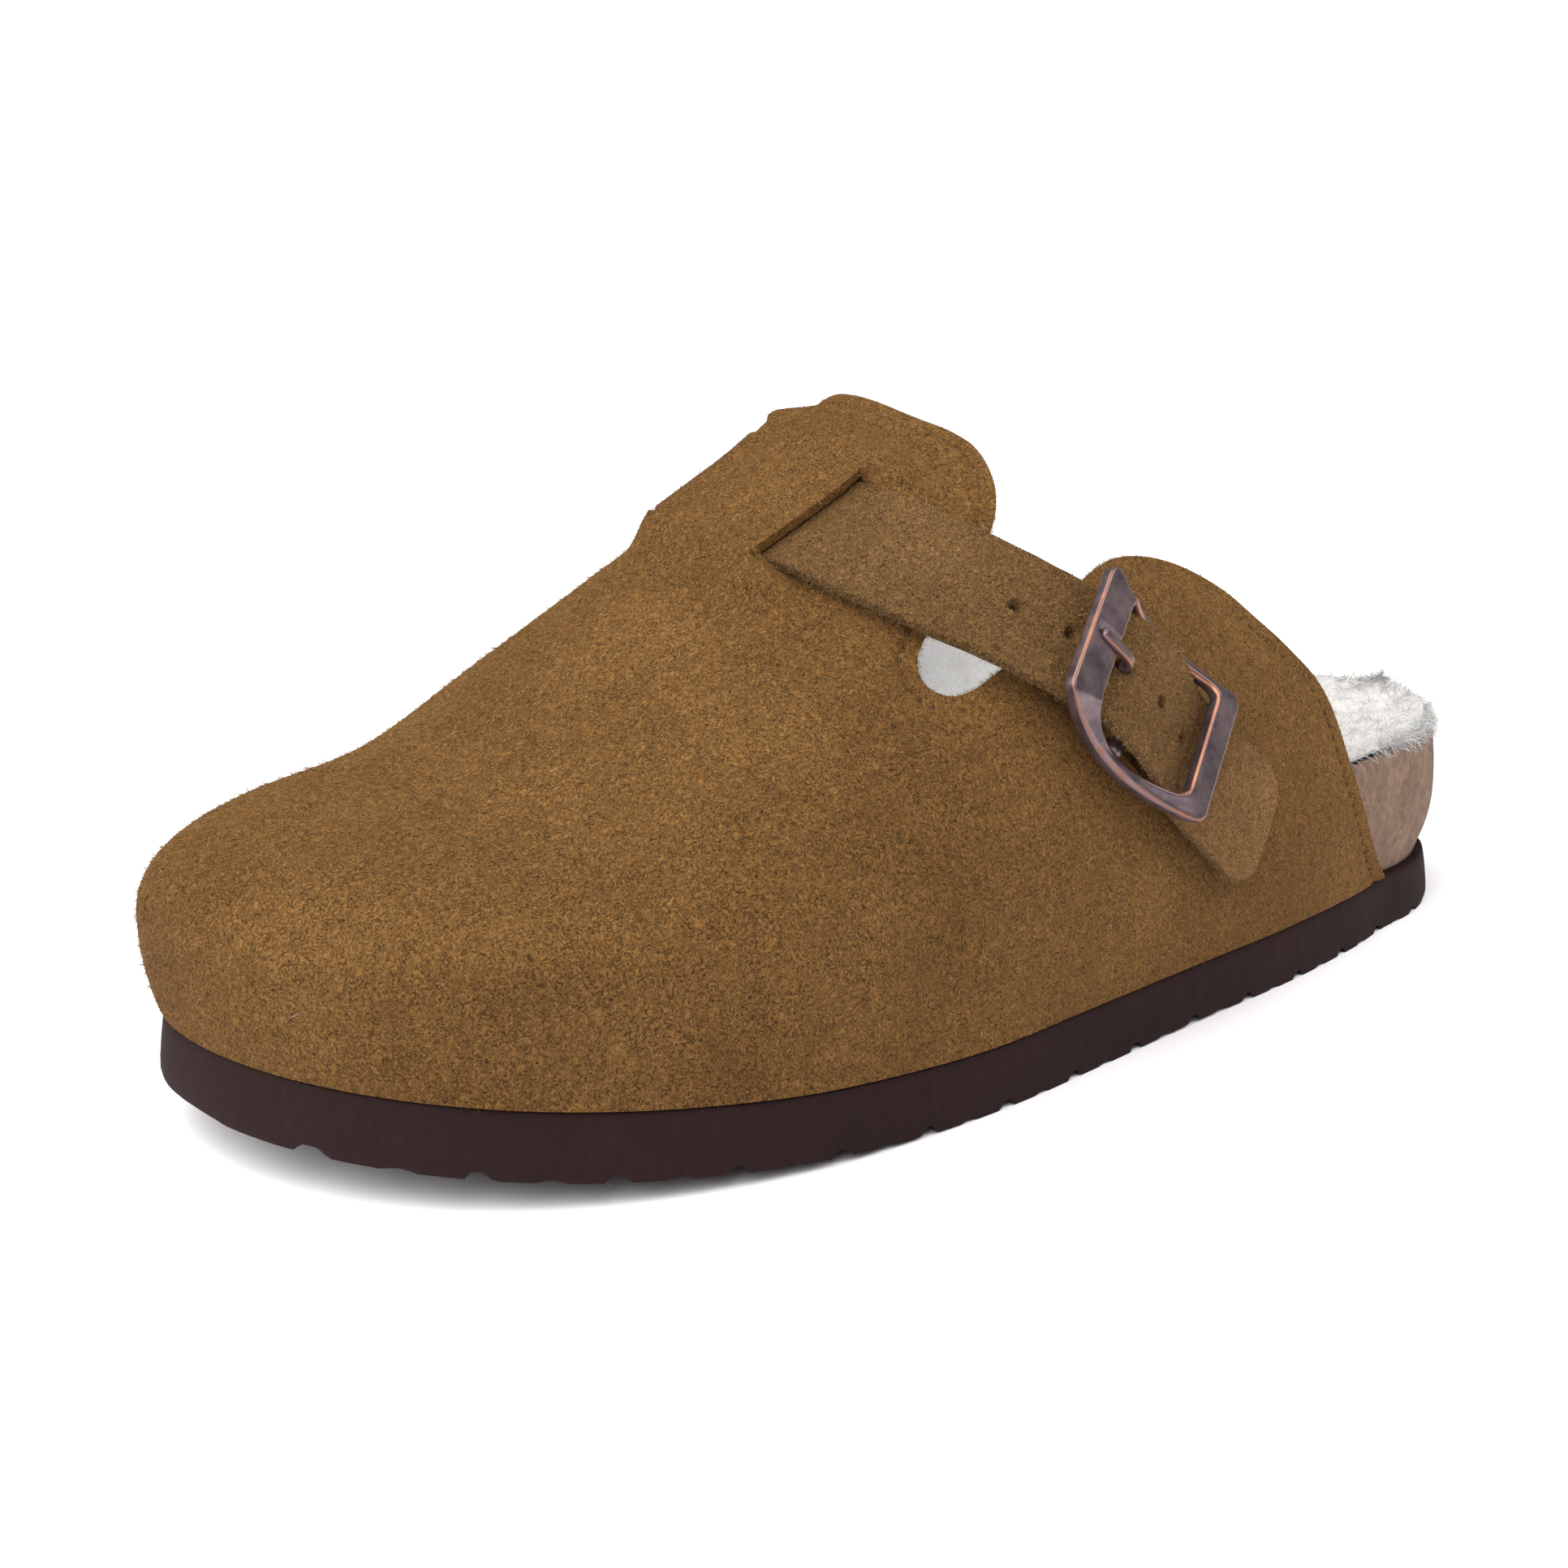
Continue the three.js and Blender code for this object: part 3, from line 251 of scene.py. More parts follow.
SOLE_ACROSS = np.concatenate([[1], np.linspace(0.985, -0.985, 25), [-1]])
swing = np.linspace(0, np.pi / 2, 30)
stations = np.unique(np.concatenate([
    HEEL_FROM * (1 - np.sin(swing)), np.linspace(HEEL_FROM, TOE_FROM, 250),
    TOE_FROM + (1 - TOE_FROM) * np.sin(np.linspace(0, np.pi / 2, 120)),
]))
first, pitch = TREAD_MARGIN, (LENGTH - 2 * TREAD_MARGIN) / GROOVE_COUNT
phase = (LENGTH * stations - first + pitch / 2) % pitch - pitch / 2
groove = np.clip((GROOVE_WIDTH / 2 - np.abs(phase)) / (GROOVE_WIDTH / 4), 0, 1)
phase_between = (LENGTH * stations - first) % pitch - pitch / 2
minor = 0.5 * np.clip(1 - np.abs(phase_between) / 1.6, 0, 1) ** 0.5
arch = ARCH_LIFT * np.sin(np.pi * np.clip((stations - ARCH_FROM) / (ARCH_TO - ARCH_FROM), 0, 1)) ** 2
cut = np.maximum(GROOVE_DEPTH * groove, minor * (1 - groove))
underside = (spring(stations) + arch + cut)[:, None]
edge_wave = 0.12 * hair(np.stack([LENGTH * stations / 7, 0 * stations], -1), 3)
levels = np.array([0, 0.12, 0.3, 0.6, 0.85, 0.97, 1.0])
insets = np.array([0.25, 0.0, 0.1, 0.5, 0.9, 1.15, 1.5]) * SOLE_FLARE / 1.2
rings = []
for level, inset in zip(levels, insets):
    height = underside + (sole_top(stations)[:, None] - underside) * level
    rings.append(sole_rings(stations, inset - edge_wave * (level < 0.5), height))
count = len(stations) * len(SOLE_ACROSS)
grid = np.arange(count).reshape(len(stations), -1)
top, bottom = quads_of(grid + (len(levels) - 1) * count), quads_of(grid)[:, ::-1]
sides = [
    np.stack([grid[:-1, column] + k * count, grid[1:, column] + k * count,
              grid[1:, column] + (k + 1) * count, grid[:-1, column] + (k + 1) * count], -1)[:, ::step]
    for k in range(len(levels) - 1) for column, step in ((0, -1), (-1, 1))
]

foam, tree, surface = finish("moulded_foam_rubber", "#241514", 0.8, Specular_IOR_Level=0.14)
place = add(tree, "ShaderNodeTexCoord")
upright = add(tree, "ShaderNodeMapping", Vector=(place, "Object"), Scale=(1.0, 1.0, 0.16))
marks = add(tree, "ShaderNodeTexNoise", Vector=(upright, "Vector"), Scale=900.0, Detail=4.0, Roughness=0.6)
dust = add(tree, "ShaderNodeTexNoise", Vector=(place, "Object"), Scale=45.0, Detail=5.0, Roughness=0.6)
pits = add(tree, "ShaderNodeTexNoise", Vector=(place, "Object"), Scale=2600.0, Detail=2.0)
tone = add(tree, "ShaderNodeMix", {"data_type": "RGBA"}, Factor=(dust, "Fac"))
tone.inputs[6].default_value, tone.inputs[7].default_value = linear("#1c100f"), linear("#2a1817")
streak = add(tree, "ShaderNodeMix", {"data_type": "RGBA", "blend_type": "OVERLAY"},
             n6=(tone, 2), n7=(marks, "Fac"))
streak.inputs["Factor"].default_value = 0.35
tree.links.new(streak.outputs[2], surface.inputs["Base Color"])
grain = add(tree, "ShaderNodeBump", Height=(marks, "Fac"), Strength=0.35, Distance=0.0002)
grain = add(tree, "ShaderNodeBump", Height=(pits, "Fac"), Normal=(grain, "Normal"),
            Strength=0.3, Distance=0.0001)
tree.links.new(grain.outputs["Normal"], surface.inputs["Normal"])

piece("outsole_foam", np.concatenate([ring.reshape(-1, 3) for ring in rings]),
      np.concatenate([bottom, top, *sides]), foam, ["outsole"])

# ---- Footbed
# Ground cork bound with latex, pressed to the last and left bare at the heel, where its taupe side
# shows fine crumbs and upright rubbing marks. It is glued to the outsole and hollowed for the foot.

WALL, CLEARANCE, SOLE_LIP, TOE_OVERHANG, HEEL_OVERHANG = 1.8, 0.3, 1.0, 2.2, 1.3
ROOF_FROM, ROOF_ROUND, LOWER_SHARE = 0.78, 2.2, 0.14
HEEL_RIM, CUP_DEPTH = 27.0, 6.0
TOE_TIP, HEEL_TIP = 1 + TOE_OVERHANG / LENGTH, -HEEL_OVERHANG / LENGTH
BASE_TOE, BASE_HEEL = 1 - SOLE_LIP / LENGTH, SOLE_LIP / LENGTH
# Columns: place, centre, lateral, medial, top, ridge, widest height, lateral and medial shoulder
SECTIONS = np.array([
    [0.0, 0.0, 0.335, 0.315, 0.62, -0.03, 0.14, 0.2, 0.2],
    [0.15, 0.0, 0.355, 0.325, 0.74, -0.04, 0.14, 0.2, 0.2],
    [0.3, 0.0, 0.433, 0.335, 0.884, -0.069, 0.14, 0.16, 0.2],
    [0.42, 0.0, 0.473, 0.355, 0.968, -0.103, 0.15, 0.02, 0.12],
    [0.52, 0.0, 0.507, 0.375, 1.0, -0.12, 0.16, -0.06, 0.1],
    [0.6, -0.01, 0.542, 0.405, 0.872, -0.11, 0.172, 0.04, 0.12],
    [0.68, -0.039, 0.581, 0.436, 0.726, -0.102, 0.189, 0.12, 0.12],
    [0.76, -0.064, 0.591, 0.449, 0.569, -0.093, 0.196, 0.1, 0.06],
    [0.84, -0.089, 0.592, 0.443, 0.421, -0.08, 0.195, 0.02, 0.0],
    [0.92, -0.113, 0.597, 0.42, 0.386, -0.06, 0.182, -0.04, -0.04],
    [1.0, -0.128, 0.602, 0.395, 0.385, -0.045, 0.165, -0.04, -0.04],
])
# Columns: place, rim height, depth of the hollow
FOOTBED = np.array([
    [0.0, 1.0, 1.0], [0.2, 0.98, 1.15], [0.35, 0.86, 0.8], [0.5, 0.66, 0.45],
    [0.65, 0.48, 0.3], [0.85, 0.42, 0.25], [1.0, 0.42, 0.2],
])


def last_point(at, girth):
    """Point on the last: girth 0 and 1 are the base lines, between them a half oval from the widest line
    over the ridge, drawn in by its shoulders; below the widest line the wall eases to the outline."""
    at, girth = np.broadcast_arrays(np.asarray(at, float), np.asarray(girth, float))
    lateral, held = girth < 0.5, np.clip(at, 0, 1)
    sign = np.where(lateral, 1, -1)
    toe = np.clip((at - TOE_FROM) / (TOE_TIP - TOE_FROM), 0, 1)
    heel = np.clip((HEEL_FROM - at) / (HEEL_FROM - HEEL_TIP), 0, 1)
    round_ = rounding(toe, TOE_ROUND) * rounding(heel, 2)
    roof = rounding((at - ROOF_FROM) / (TOE_TIP - ROOF_FROM), ROOF_ROUND)
    widest = INSTEP_HEIGHT * between(SECTIONS, held, 6)
    centre = BALL_WIDTH * between(SECTIONS, held, 1)
    width = BALL_WIDTH * np.where(lateral, between(SECTIONS, held, 2), between(SECTIONS, held, 3)) * round_
    down = np.clip(1 - np.minimum(girth, 1 - girth) / LOWER_SHARE, 0, 1)
    base = np.where(toe > 0, TOE_FROM + (BASE_TOE - TOE_FROM) * toe, at)
    base = np.where(heel > 0, HEEL_FROM + (BASE_HEEL - HEEL_FROM) * heel, base)
    reach = np.where(lateral, between(OUTLINE, base, 2), between(OUTLINE, base, 3))
    base_y = BALL_WIDTH * between(OUTLINE, base, 1) + sign * (BALL_WIDTH * reach - SOLE_LIP) * round_
    angle = np.pi * np.clip(girth - LOWER_SHARE, 0, 1 - 2 * LOWER_SHARE) / (1 - 2 * LOWER_SHARE)
    up = np.sin(angle)
    shoulder = np.where(lateral, between(SECTIONS, held, 7), between(SECTIONS, held, 8))
    ridge = BALL_WIDTH * between(SECTIONS, held, 5) * round_
    arch_y = centre + width * np.cos(angle) * (1 - shoulder * up ** 2) + ridge * up ** 2
    arch_z = sole_top(at) + widest + (INSTEP_HEIGHT * between(SECTIONS, held, 4) - widest) * up * roof
    x = LENGTH * (at + (base - at) * down ** 2)
    y = arch_y + (base_y - arch_y) * down ** 2
    z = np.where(down > 0, sole_top(at) + widest + (sole_top(base) - sole_top(at) - widest) * down, arch_z)
    return np.stack([x, y, z], -1)


def last_normal(at, girth):
    """Outward normal: the cross product of the slopes round and along the last, and level at its tips."""
    at, girth = np.broadcast_arrays(np.asarray(at, float), np.asarray(girth, float))
    step = np.clip(np.minimum(TOE_TIP - at, at - HEEL_TIP) / 3, 1e-6, 0.002)
    inner = np.clip(at, HEEL_TIP + 1e-6, TOE_TIP - 1e-6)
    along = (last_point(inner + step, girth) - last_point(inner - step, girth)) / (2 * step[..., None])
    low, high = np.clip(girth - 0.002, 0, 1), np.clip(girth + 0.002, 0, 1)
    normal = np.cross(last_point(inner, high) - last_point(inner, low), along)
    tip = np.where(at > TOE_TIP - 1e-5, 1.0, np.where(at < HEEL_TIP + 1e-5, -1.0, 0.0))
    down = np.minimum(girth, 1 - girth)
    rise = (last_point(at, np.minimum(down + 0.01, LOWER_SHARE)) - last_point(at, np.maximum(down - 0.01, 0)))
    level = np.stack([tip * rise[..., 2], 0 * tip, -tip * rise[..., 0]], -1)
    level = np.where((down >= LOWER_SHARE)[..., None], np.stack([tip, 0 * tip, 0 * tip], -1), level)
    normal = np.where((tip != 0)[..., None], level, normal)
    return normal / np.maximum(np.linalg.norm(normal, axis=-1, keepdims=True), 1e-12)


def off_last(at, girth, distance):
    """Point at a distance out from the last."""
    return last_point(at, girth) + last_normal(at, girth) * np.asarray(distance)[..., None]


def girth_at_height(at, height, lateral=True):
    """Girth where a side reaches a height over the outsole: linear below the widest line, arcsine above."""
    held = np.clip(at, 0, 1)
    widest = INSTEP_HEIGHT * between(SECTIONS, held, 6)
    roof = np.maximum(rounding((at - ROOF_FROM) / (TOE_TIP - ROOF_FROM), ROOF_ROUND), 0.01)
    up = np.clip((height - widest) / ((INSTEP_HEIGHT * between(SECTIONS, held, 4) - widest) * roof), 0, 1)
    above = LOWER_SHARE + np.arcsin(up) / np.pi * (1 - 2 * LOWER_SHARE)
    girth = np.where(height > widest, above, LOWER_SHARE * height / widest)
    return girth if lateral else 1 - girth


def inside_point(at, height, lateral):
    """Place just inside the upper's wall at a height over the outsole."""
    return off_last(at, girth_at_height(at, height, lateral), np.full(np.shape(at), -(WALL + 2 * CLEARANCE)))


def rim_height(at):
    """Height of the cork's rim over the outsole."""
    return HEEL_RIM * between(FOOTBED, np.clip(at, 0, 1), 1)


def hollow(at, q):
    """Depth of the footbed's hollow: a parabola across, fading toward both tips."""
    fade = rounding((at - TOE_FROM) / (TOE_TIP - TOE_FROM), TOE_ROUND)
    fade = fade * rounding((HEEL_FROM - at) / (HEEL_FROM - HEEL_TIP), 2)
    return CUP_DEPTH * between(FOOTBED, np.clip(at, 0, 1), 2) * fade * (1 - q ** 2)


swing = np.sin(np.linspace(0, np.pi / 2, 40))
full = np.unique(np.concatenate([
    HEEL_FROM + (HEEL_TIP - HEEL_FROM) * swing, np.linspace(HEEL_FROM, TOE_FROM, 90),
    TOE_FROM + (TOE_TIP - TOE_FROM) * swing,
]))
share = np.linspace(0, 1, 16)[None, :]
rows = full[:, None] + 0 * share
flank = [inside_point(rows, rim_height(rows) * share, lateral) for lateral in (True, False)]
for side in flank:
    side[:, 0, 2] = sole_top(side[:, 0, 0] / LENGTH) + CLEARANCE
q = np.linspace(-1, 1, 41)[None, 1:-1]
dish = flank[0][:, -1:] + (flank[1][:, -1:] - flank[0][:, -1:]) * ((q + 1) / 2)[..., None]
dish[..., 2] -= hollow(full[:, None], q)
shell = np.concatenate([flank[0], dish, flank[1][:, ::-1]], 1)
share = np.linspace(0, 1, shell.shape[1])[None, :, None]
under = shell[:, :1] + (shell[:, -1:] - shell[:, :1]) * share
grid = np.arange(shell[..., 0].size).reshape(shell.shape[:2])
faces = np.concatenate([quads_of(grid), quads_of(grid + grid.size)[:, ::-1]])

cork, tree, surface = finish("pressed_cork", "#93785f", 0.88, Specular_IOR_Level=0.25)
place = add(tree, "ShaderNodeTexCoord")
upright = add(tree, "ShaderNodeMapping", Vector=(place, "Object"), Scale=(1.0, 1.0, 0.6))
crumbs = add(tree, "ShaderNodeTexVoronoi", Vector=(upright, "Vector"), Scale=1100.0)
fine = add(tree, "ShaderNodeTexNoise", Vector=(upright, "Vector"), Scale=1500.0, Detail=5.0, Roughness=0.7)
cloud = add(tree, "ShaderNodeTexNoise", Vector=(upright, "Vector"), Scale=140.0, Detail=4.0, Roughness=0.6)
tone = add(tree, "ShaderNodeValToRGB", Fac=(crumbs, "Color"))
tone.color_ramp.elements[0].color, tone.color_ramp.elements[1].color = linear("#6a5445"), linear("#836d5d")
speck = add(tree, "ShaderNodeMix", {"data_type": "RGBA", "blend_type": "OVERLAY"},
            n6=(tone, "Color"), n7=(fine, "Fac"))
speck.inputs["Factor"].default_value = 0.45
patch = add(tree, "ShaderNodeMix", {"data_type": "RGBA", "blend_type": "SOFT_LIGHT"},
            n6=(speck, 2), n7=(cloud, "Fac"))
patch.inputs["Factor"].default_value = 0.6
tree.links.new(patch.outputs[2], surface.inputs["Base Color"])
grain = add(tree, "ShaderNodeBump", Height=(fine, "Fac"), Strength=0.55, Distance=0.0003)
grain = add(tree, "ShaderNodeBump", Height=(crumbs, "Distance"), Normal=(grain, "Normal"),
            Strength=0.25, Distance=0.0002)
tree.links.new(grain.outputs["Normal"], surface.inputs["Normal"])

made = piece("footbed_cork", np.concatenate([shell.reshape(-1, 3), under.reshape(-1, 3)]), faces, cork,
             ["footbed"])
edge = made.modifiers.new("rim", "BEVEL")
edge.width, edge.segments, edge.limit_method, edge.angle_limit = 0.0012, 3, "ANGLE", np.radians(45)

# ---- Insole
# Sheared sheepskin, off-white, glued on the footbed with its pile up. The pile clumps in soft tufts
# and hangs a little over the cork's edge round the heel.

PILE, PILE_FALL = 5.0, 0.35
WOOL_FIBRES, FRINGE_FIBRES = 60000, 5200


def insole_edge(lateral):
    """Edge of the insole: the inner of the wall's places at the rim and at the pile's crown."""
    rim = inside_point(full, rim_height(full), lateral)
    crown = inside_point(full, rim_height(full) + PILE, lateral)
    centre_line = BALL_WIDTH * between(SECTIONS, np.clip(full, 0, 1), 1)
    middle = np.stack([LENGTH * np.clip(full, HEEL_FROM, TOE_FROM), centre_line], -1)
    nearer = np.linalg.norm(crown[:, :2] - middle, axis=1) < np.linalg.norm(rim[:, :2] - middle, axis=1)
    edge = np.where(nearer[:, None], crown, rim)
    edge[:, 2] = rim[:, 2]
    return edge


def tufts(places):
    """Soft clumps of wool: two layers of smooth random waves, 6 and 2.5 mm across."""
    return 0.6 * hair(places / 2.4, 11) + 0.4 * hair(places / 1.0, 12)


q = np.sin(np.linspace(-np.pi / 2, np.pi / 2, 71))[None, :]
edges = insole_edge(True), insole_edge(False)
flat = edges[0][:, None] + (edges[1] - edges[0])[:, None] * ((q + 1) / 2)[..., None]
flat[..., 2] += CLEARANCE - hollow(full[:, None], q)
rise = PILE * (1 - PILE_FALL * q ** 4) * np.minimum(1, (1 - np.abs(q)) * 12 + 0.25)
wool_top = flat.copy()
wool_top[..., 2] += rise + 0.55 * tufts(flat[..., :2]) * np.minimum(1, rise / PILE)
grid = np.arange(flat[..., 0].size).reshape(flat.shape[:2])
faces = np.concatenate([quads_of(grid), quads_of(grid + grid.size)[:, ::-1]])
walls = [
    np.stack([grid[:-1, c], grid[1:, c], grid[1:, c] + grid.size, grid[:-1, c] + grid.size], -1)[:, ::s]
    for c, s in ((0, 1), (-1, -1))
]

def wool(name, shade, light):
    """Dense wool: curled grain in the pile over soft lighter and darker clumps, with a slight glow."""
    material, tree, surface = finish(name, light, 0.95, Specular_IOR_Level=0.1, Sheen_Weight=0.3,
                                     Sheen_Roughness=0.6, Subsurface_Weight=0.12, Subsurface_Scale=0.002)
    place = add(tree, "ShaderNodeTexCoord")
    curl = add(tree, "ShaderNodeTexNoise", Vector=(place, "Object"), Scale=700.0, Detail=6.0,
               Roughness=0.7, Distortion=1.2)
    clump = add(tree, "ShaderNodeTexNoise", Vector=(place, "Object"), Scale=170.0, Detail=3.0)
    tone = add(tree, "ShaderNodeValToRGB", Fac=(clump, "Fac"))
    tone.color_ramp.elements[0].color, tone.color_ramp.elements[1].color = linear(shade), linear(light)
    tone.color_ramp.elements[0].position, tone.color_ramp.elements[1].position = 0.3, 0.6
    tree.links.new(tone.outputs["Color"], surface.inputs["Base Color"])
    grain = add(tree, "ShaderNodeBump", Height=(curl, "Fac"), Strength=0.55, Distance=0.0008)
    tree.links.new(grain.outputs["Normal"], surface.inputs["Normal"])
    return material


sheepskin = wool("sheared_sheepskin", "#aeaba9", "#c4c2c0")
piece("insole_sheepskin", np.concatenate([wool_top.reshape(-1, 3), flat.reshape(-1, 3)]),
      np.concatenate([faces, *walls]), sheepskin, ["insole"], sharp=None)


def fibres(name, roots, leans, length, width, curl, material, seed, links=4):
    """Curved ribbons, narrower to their tips: each leaves its root along its lean and turns by a random
    amount per link. All ribbons are worked out together as one array."""
    rng = np.random.default_rng(seed)
    count = len(roots)
    course = leans / np.linalg.norm(leans, axis=1, keepdims=True)
    across = np.cross(course, rng.normal(size=(count, 3)))
    across /= np.linalg.norm(across, axis=1, keepdims=True)
    twist = rng.normal(size=(count, 3)) * curl
    size = length * rng.uniform(0.6, 1.3, (count, 1)) / links
    spine, places = roots.copy(), []
    for k in range(links + 1):
        half = across * width / 2 * (1 - 0.75 * k / links)
        places += [spine - half, spine + half]
        course = course + twist * (1 + 0.5 * np.sin(k))
        course /= np.linalg.norm(course, axis=1, keepdims=True)
        spine = spine + course * size
    places = np.stack(places, 1)
    start = np.arange(count)[:, None] * (2 * links + 2)
    link = np.array([[0, 1, 3, 2]])
    faces = np.concatenate([start + link + 2 * k for k in range(links)])
    return piece(name, places.reshape(-1, 3), faces, material, sharp=None, merge=False)


rng = np.random.default_rng(21)
row = rng.integers(0, len(full) - 1, WOOL_FIBRES)
column = rng.integers(0, q.size, WOOL_FIBRES)
heelward = wool_top[row, column, 0] < 100
share_kept = np.where(heelward, 1.0, 0.25) * np.where(np.abs(q[0, column]) > 0.98, 0.5, 0.22)
kept = rng.uniform(size=WOOL_FIBRES) < share_kept
row, column = row[kept], column[kept]
step = wool_top[row + 1, column] - wool_top[row, column]
roots = wool_top[row, column] + step * rng.uniform(size=(len(row), 1))
leans = rng.normal(size=(len(row), 3)) * (1, 1, 0.25) + (0, 0, 0.55)
fibres("insole_wool", roots - (0, 0, 0.4), leans, 3.4, 0.16, 0.55, sheepskin, 22)
round_heel = np.concatenate([edges[0][full < 0.15], edges[1][full < 0.15]])
which = rng.integers(0, len(round_heel), FRINGE_FIBRES)
rim_roots = round_heel[which] + rng.normal(size=(FRINGE_FIBRES, 3)) * (0.5, 0.5, 0.9) + (0, 0, 1.2)
outward = rim_roots - (LENGTH * HEEL_FROM, 0, 0)
outward[:, 0] = np.minimum(outward[:, 0], 0)
outward[:, 2] = 0
outward /= np.linalg.norm(outward, axis=1, keepdims=True)
clumped = 1 + 0.9 * hair(rim_roots[:, :2] / 2.0, 5)[:, None]
rim_leans = outward * 0.7 + rng.normal(size=(FRINGE_FIBRES, 3)) * 0.45 + (0, 0, -0.55) * clumped
fibres("insole_fringe", rim_roots, rim_leans, 3.0, 0.17, 0.4, sheepskin, 23)

# ---- Upper
# One piece of tan suede over a fleece backing, pulled over the last and glued between cork and outsole.
# It is cut into two wings, two throat notches and a tongue, and two slits leave the bridge for the strap.

STRAP_WIDTH, STRAP_THICK = 22.4, 2.2
SLIT_MARGIN, SLIT_GAP, SLIT_FADE = 0.3, 0.35, 6.0
SLIT_LATERAL, SLIT_MEDIAL = 67.0, 93.0  # degrees round the section
BRIDGE_RAMP, BRIDGE_MARGIN, BRIDGE_FADE = 11.0, 2.0, 14.0
BRIDGE_SUNK = 2.0  # mm that strap and bridge press into the soft instep
STITCH_INSET = 2.9  # mm from the topline to the stitched row
# Side view of the topline, place and height: from a wing's foot to the notch, and on over the tongue
TOPLINE = np.array([
    [0.128, -0.03], [0.171, 0.061], [0.199, 0.179], [0.221, 0.29], [0.24, 0.43], [0.27, 0.517],
    [0.299, 0.581], [0.33, 0.644], [0.376, 0.7], [0.425, 0.722], [0.468, 0.704], [0.52, 0.64],
    [0.574, 0.577], [0.592, 0.559], [0.606, 0.558], [0.615, 0.575], [0.614, 0.604], [0.604, 0.635],
    [0.57, 0.71], [0.534, 0.785], [0.512, 0.85], [0.504, 0.905], [0.51, 0.935], [0.528, 0.975],
    [0.533, 1.06],
])
NOTCH_ROW = 14
# Middle of the strap over the last: place, angle round the section, lift off the last in mm
STRAP_PATH = np.array([
    [0.43, 164, 0], [0.49, 153, 0], [0.55, 138, 0.4], [0.595, 116, 1], [0.62, 90, 0.9], [0.614, 66, 0.6],
    [0.581, 47.8, 0.2], [0.543, 36.8, 0], [0.51, 30.3, 0], [0.48, 24.3, 0], [0.424, 15, 0], [0.354, 6, 0],
])
PIN_ROW, BRIDGE_ROW = 9, 4
BRIDGE_AT = STRAP_PATH[BRIDGE_ROW, 0]
bridge_step = last_point(BRIDGE_AT + 0.002, 0.5) - last_point(BRIDGE_AT - 0.002, 0.5)
BRIDGE_SPEED = np.linalg.norm(bridge_step) / 0.004  # mm per whole length, where the bridge stands
SLIT_HALF = STRAP_WIDTH / 2 + SLIT_MARGIN


def through(points, count):
    """Catmull-Rom curve through rows of points, in equal steps between each pair of them."""
    rows = np.vstack([points[:1], points, points[-1:]])
    a, b, c, d = (rows[k:len(points) - 1 + k, None] for k in range(4))
    t = np.linspace(0, 1, count, endpoint=False)[None, :, None]
    curve = b + t * ((c - a) / 2 + t * (a - 2.5 * b + 2 * c - d / 2 + t * (1.5 * (b - c) + (d - a) / 2)))
    return np.vstack([curve.reshape(-1, points.shape[1]), points[-1:]])


def angle_of(girth):
    """Degrees round the arch of a section, 0 at the lateral and 180 at the medial widest line."""
    return (girth - LOWER_SHARE) / (1 - 2 * LOWER_SHARE) * 180


def sunk(angle):
    """How far strap and bridge lie below their full rise: all of it between the slits, none past them."""
    return BRIDGE_SUNK * smooth((angle - SLIT_LATERAL + 7) / 12) * smooth((SLIT_MEDIAL + 7 - angle) / 12)


def bridge_lift(at, girth):
    """Rise of the wall over the strap: full between the slits, and smoothly faded past their ends."""
    angle = angle_of(girth)
    ridge = STRAP_PATH[BRIDGE_ROW]
    side = STRAP_PATH[BRIDGE_ROW + np.where(angle < ridge[1], 1, -1)]
    turned = np.clip((angle - ridge[1]) / (side[..., 1] - ridge[1]), 0, 1)
    along = np.abs(at - ridge[0] - turned * (side[..., 0] - ridge[0])) * BRIDGE_SPEED
    raised = STRAP_THICK + 3 * CLEARANCE + WALL + ridge[2] + turned * (side[..., 2] - ridge[2]) - sunk(angle)
    crest = raised * (1 - smooth((along - STRAP_WIDTH / 2 - BRIDGE_MARGIN) / BRIDGE_RAMP))
    away = np.maximum(SLIT_LATERAL - angle, angle - SLIT_MEDIAL)
    beside = crest * smooth((along - SLIT_HALF + 2.5) / SLIT_FADE) * (1 - smooth(away / BRIDGE_FADE))
    return np.where(away < 0, crest, beside)


topline = through(TOPLINE, 12) * (LENGTH, INSTEP_HEIGHT) + (0, SOLE_THICK)
wing_line, tongue_line = topline[:12 * NOTCH_ROW + 1], topline[12 * NOTCH_ROW:]


def wing_top(at):
    """Girth of a wing's topline at a place along the shoe."""
    height = np.interp(LENGTH * at, wing_line[:, 0], wing_line[:, 1]) - sole_top(at)
    return girth_at_height(at, np.maximum(height, 0))


def tongue_edge(girth):
    """Place of the tongue's edge on each line of girth, by steps toward the side view of the topline."""
    at = np.full(girth.shape, 0.57)
    for _ in range(60):
        point = off_last(at, girth, bridge_lift(at, girth))
        wanted = np.interp(point[..., 2], tongue_line[:, 1], tongue_line[:, 0])
        at = at + 0.8 * (wanted - point[..., 0]) / LENGTH
    return at


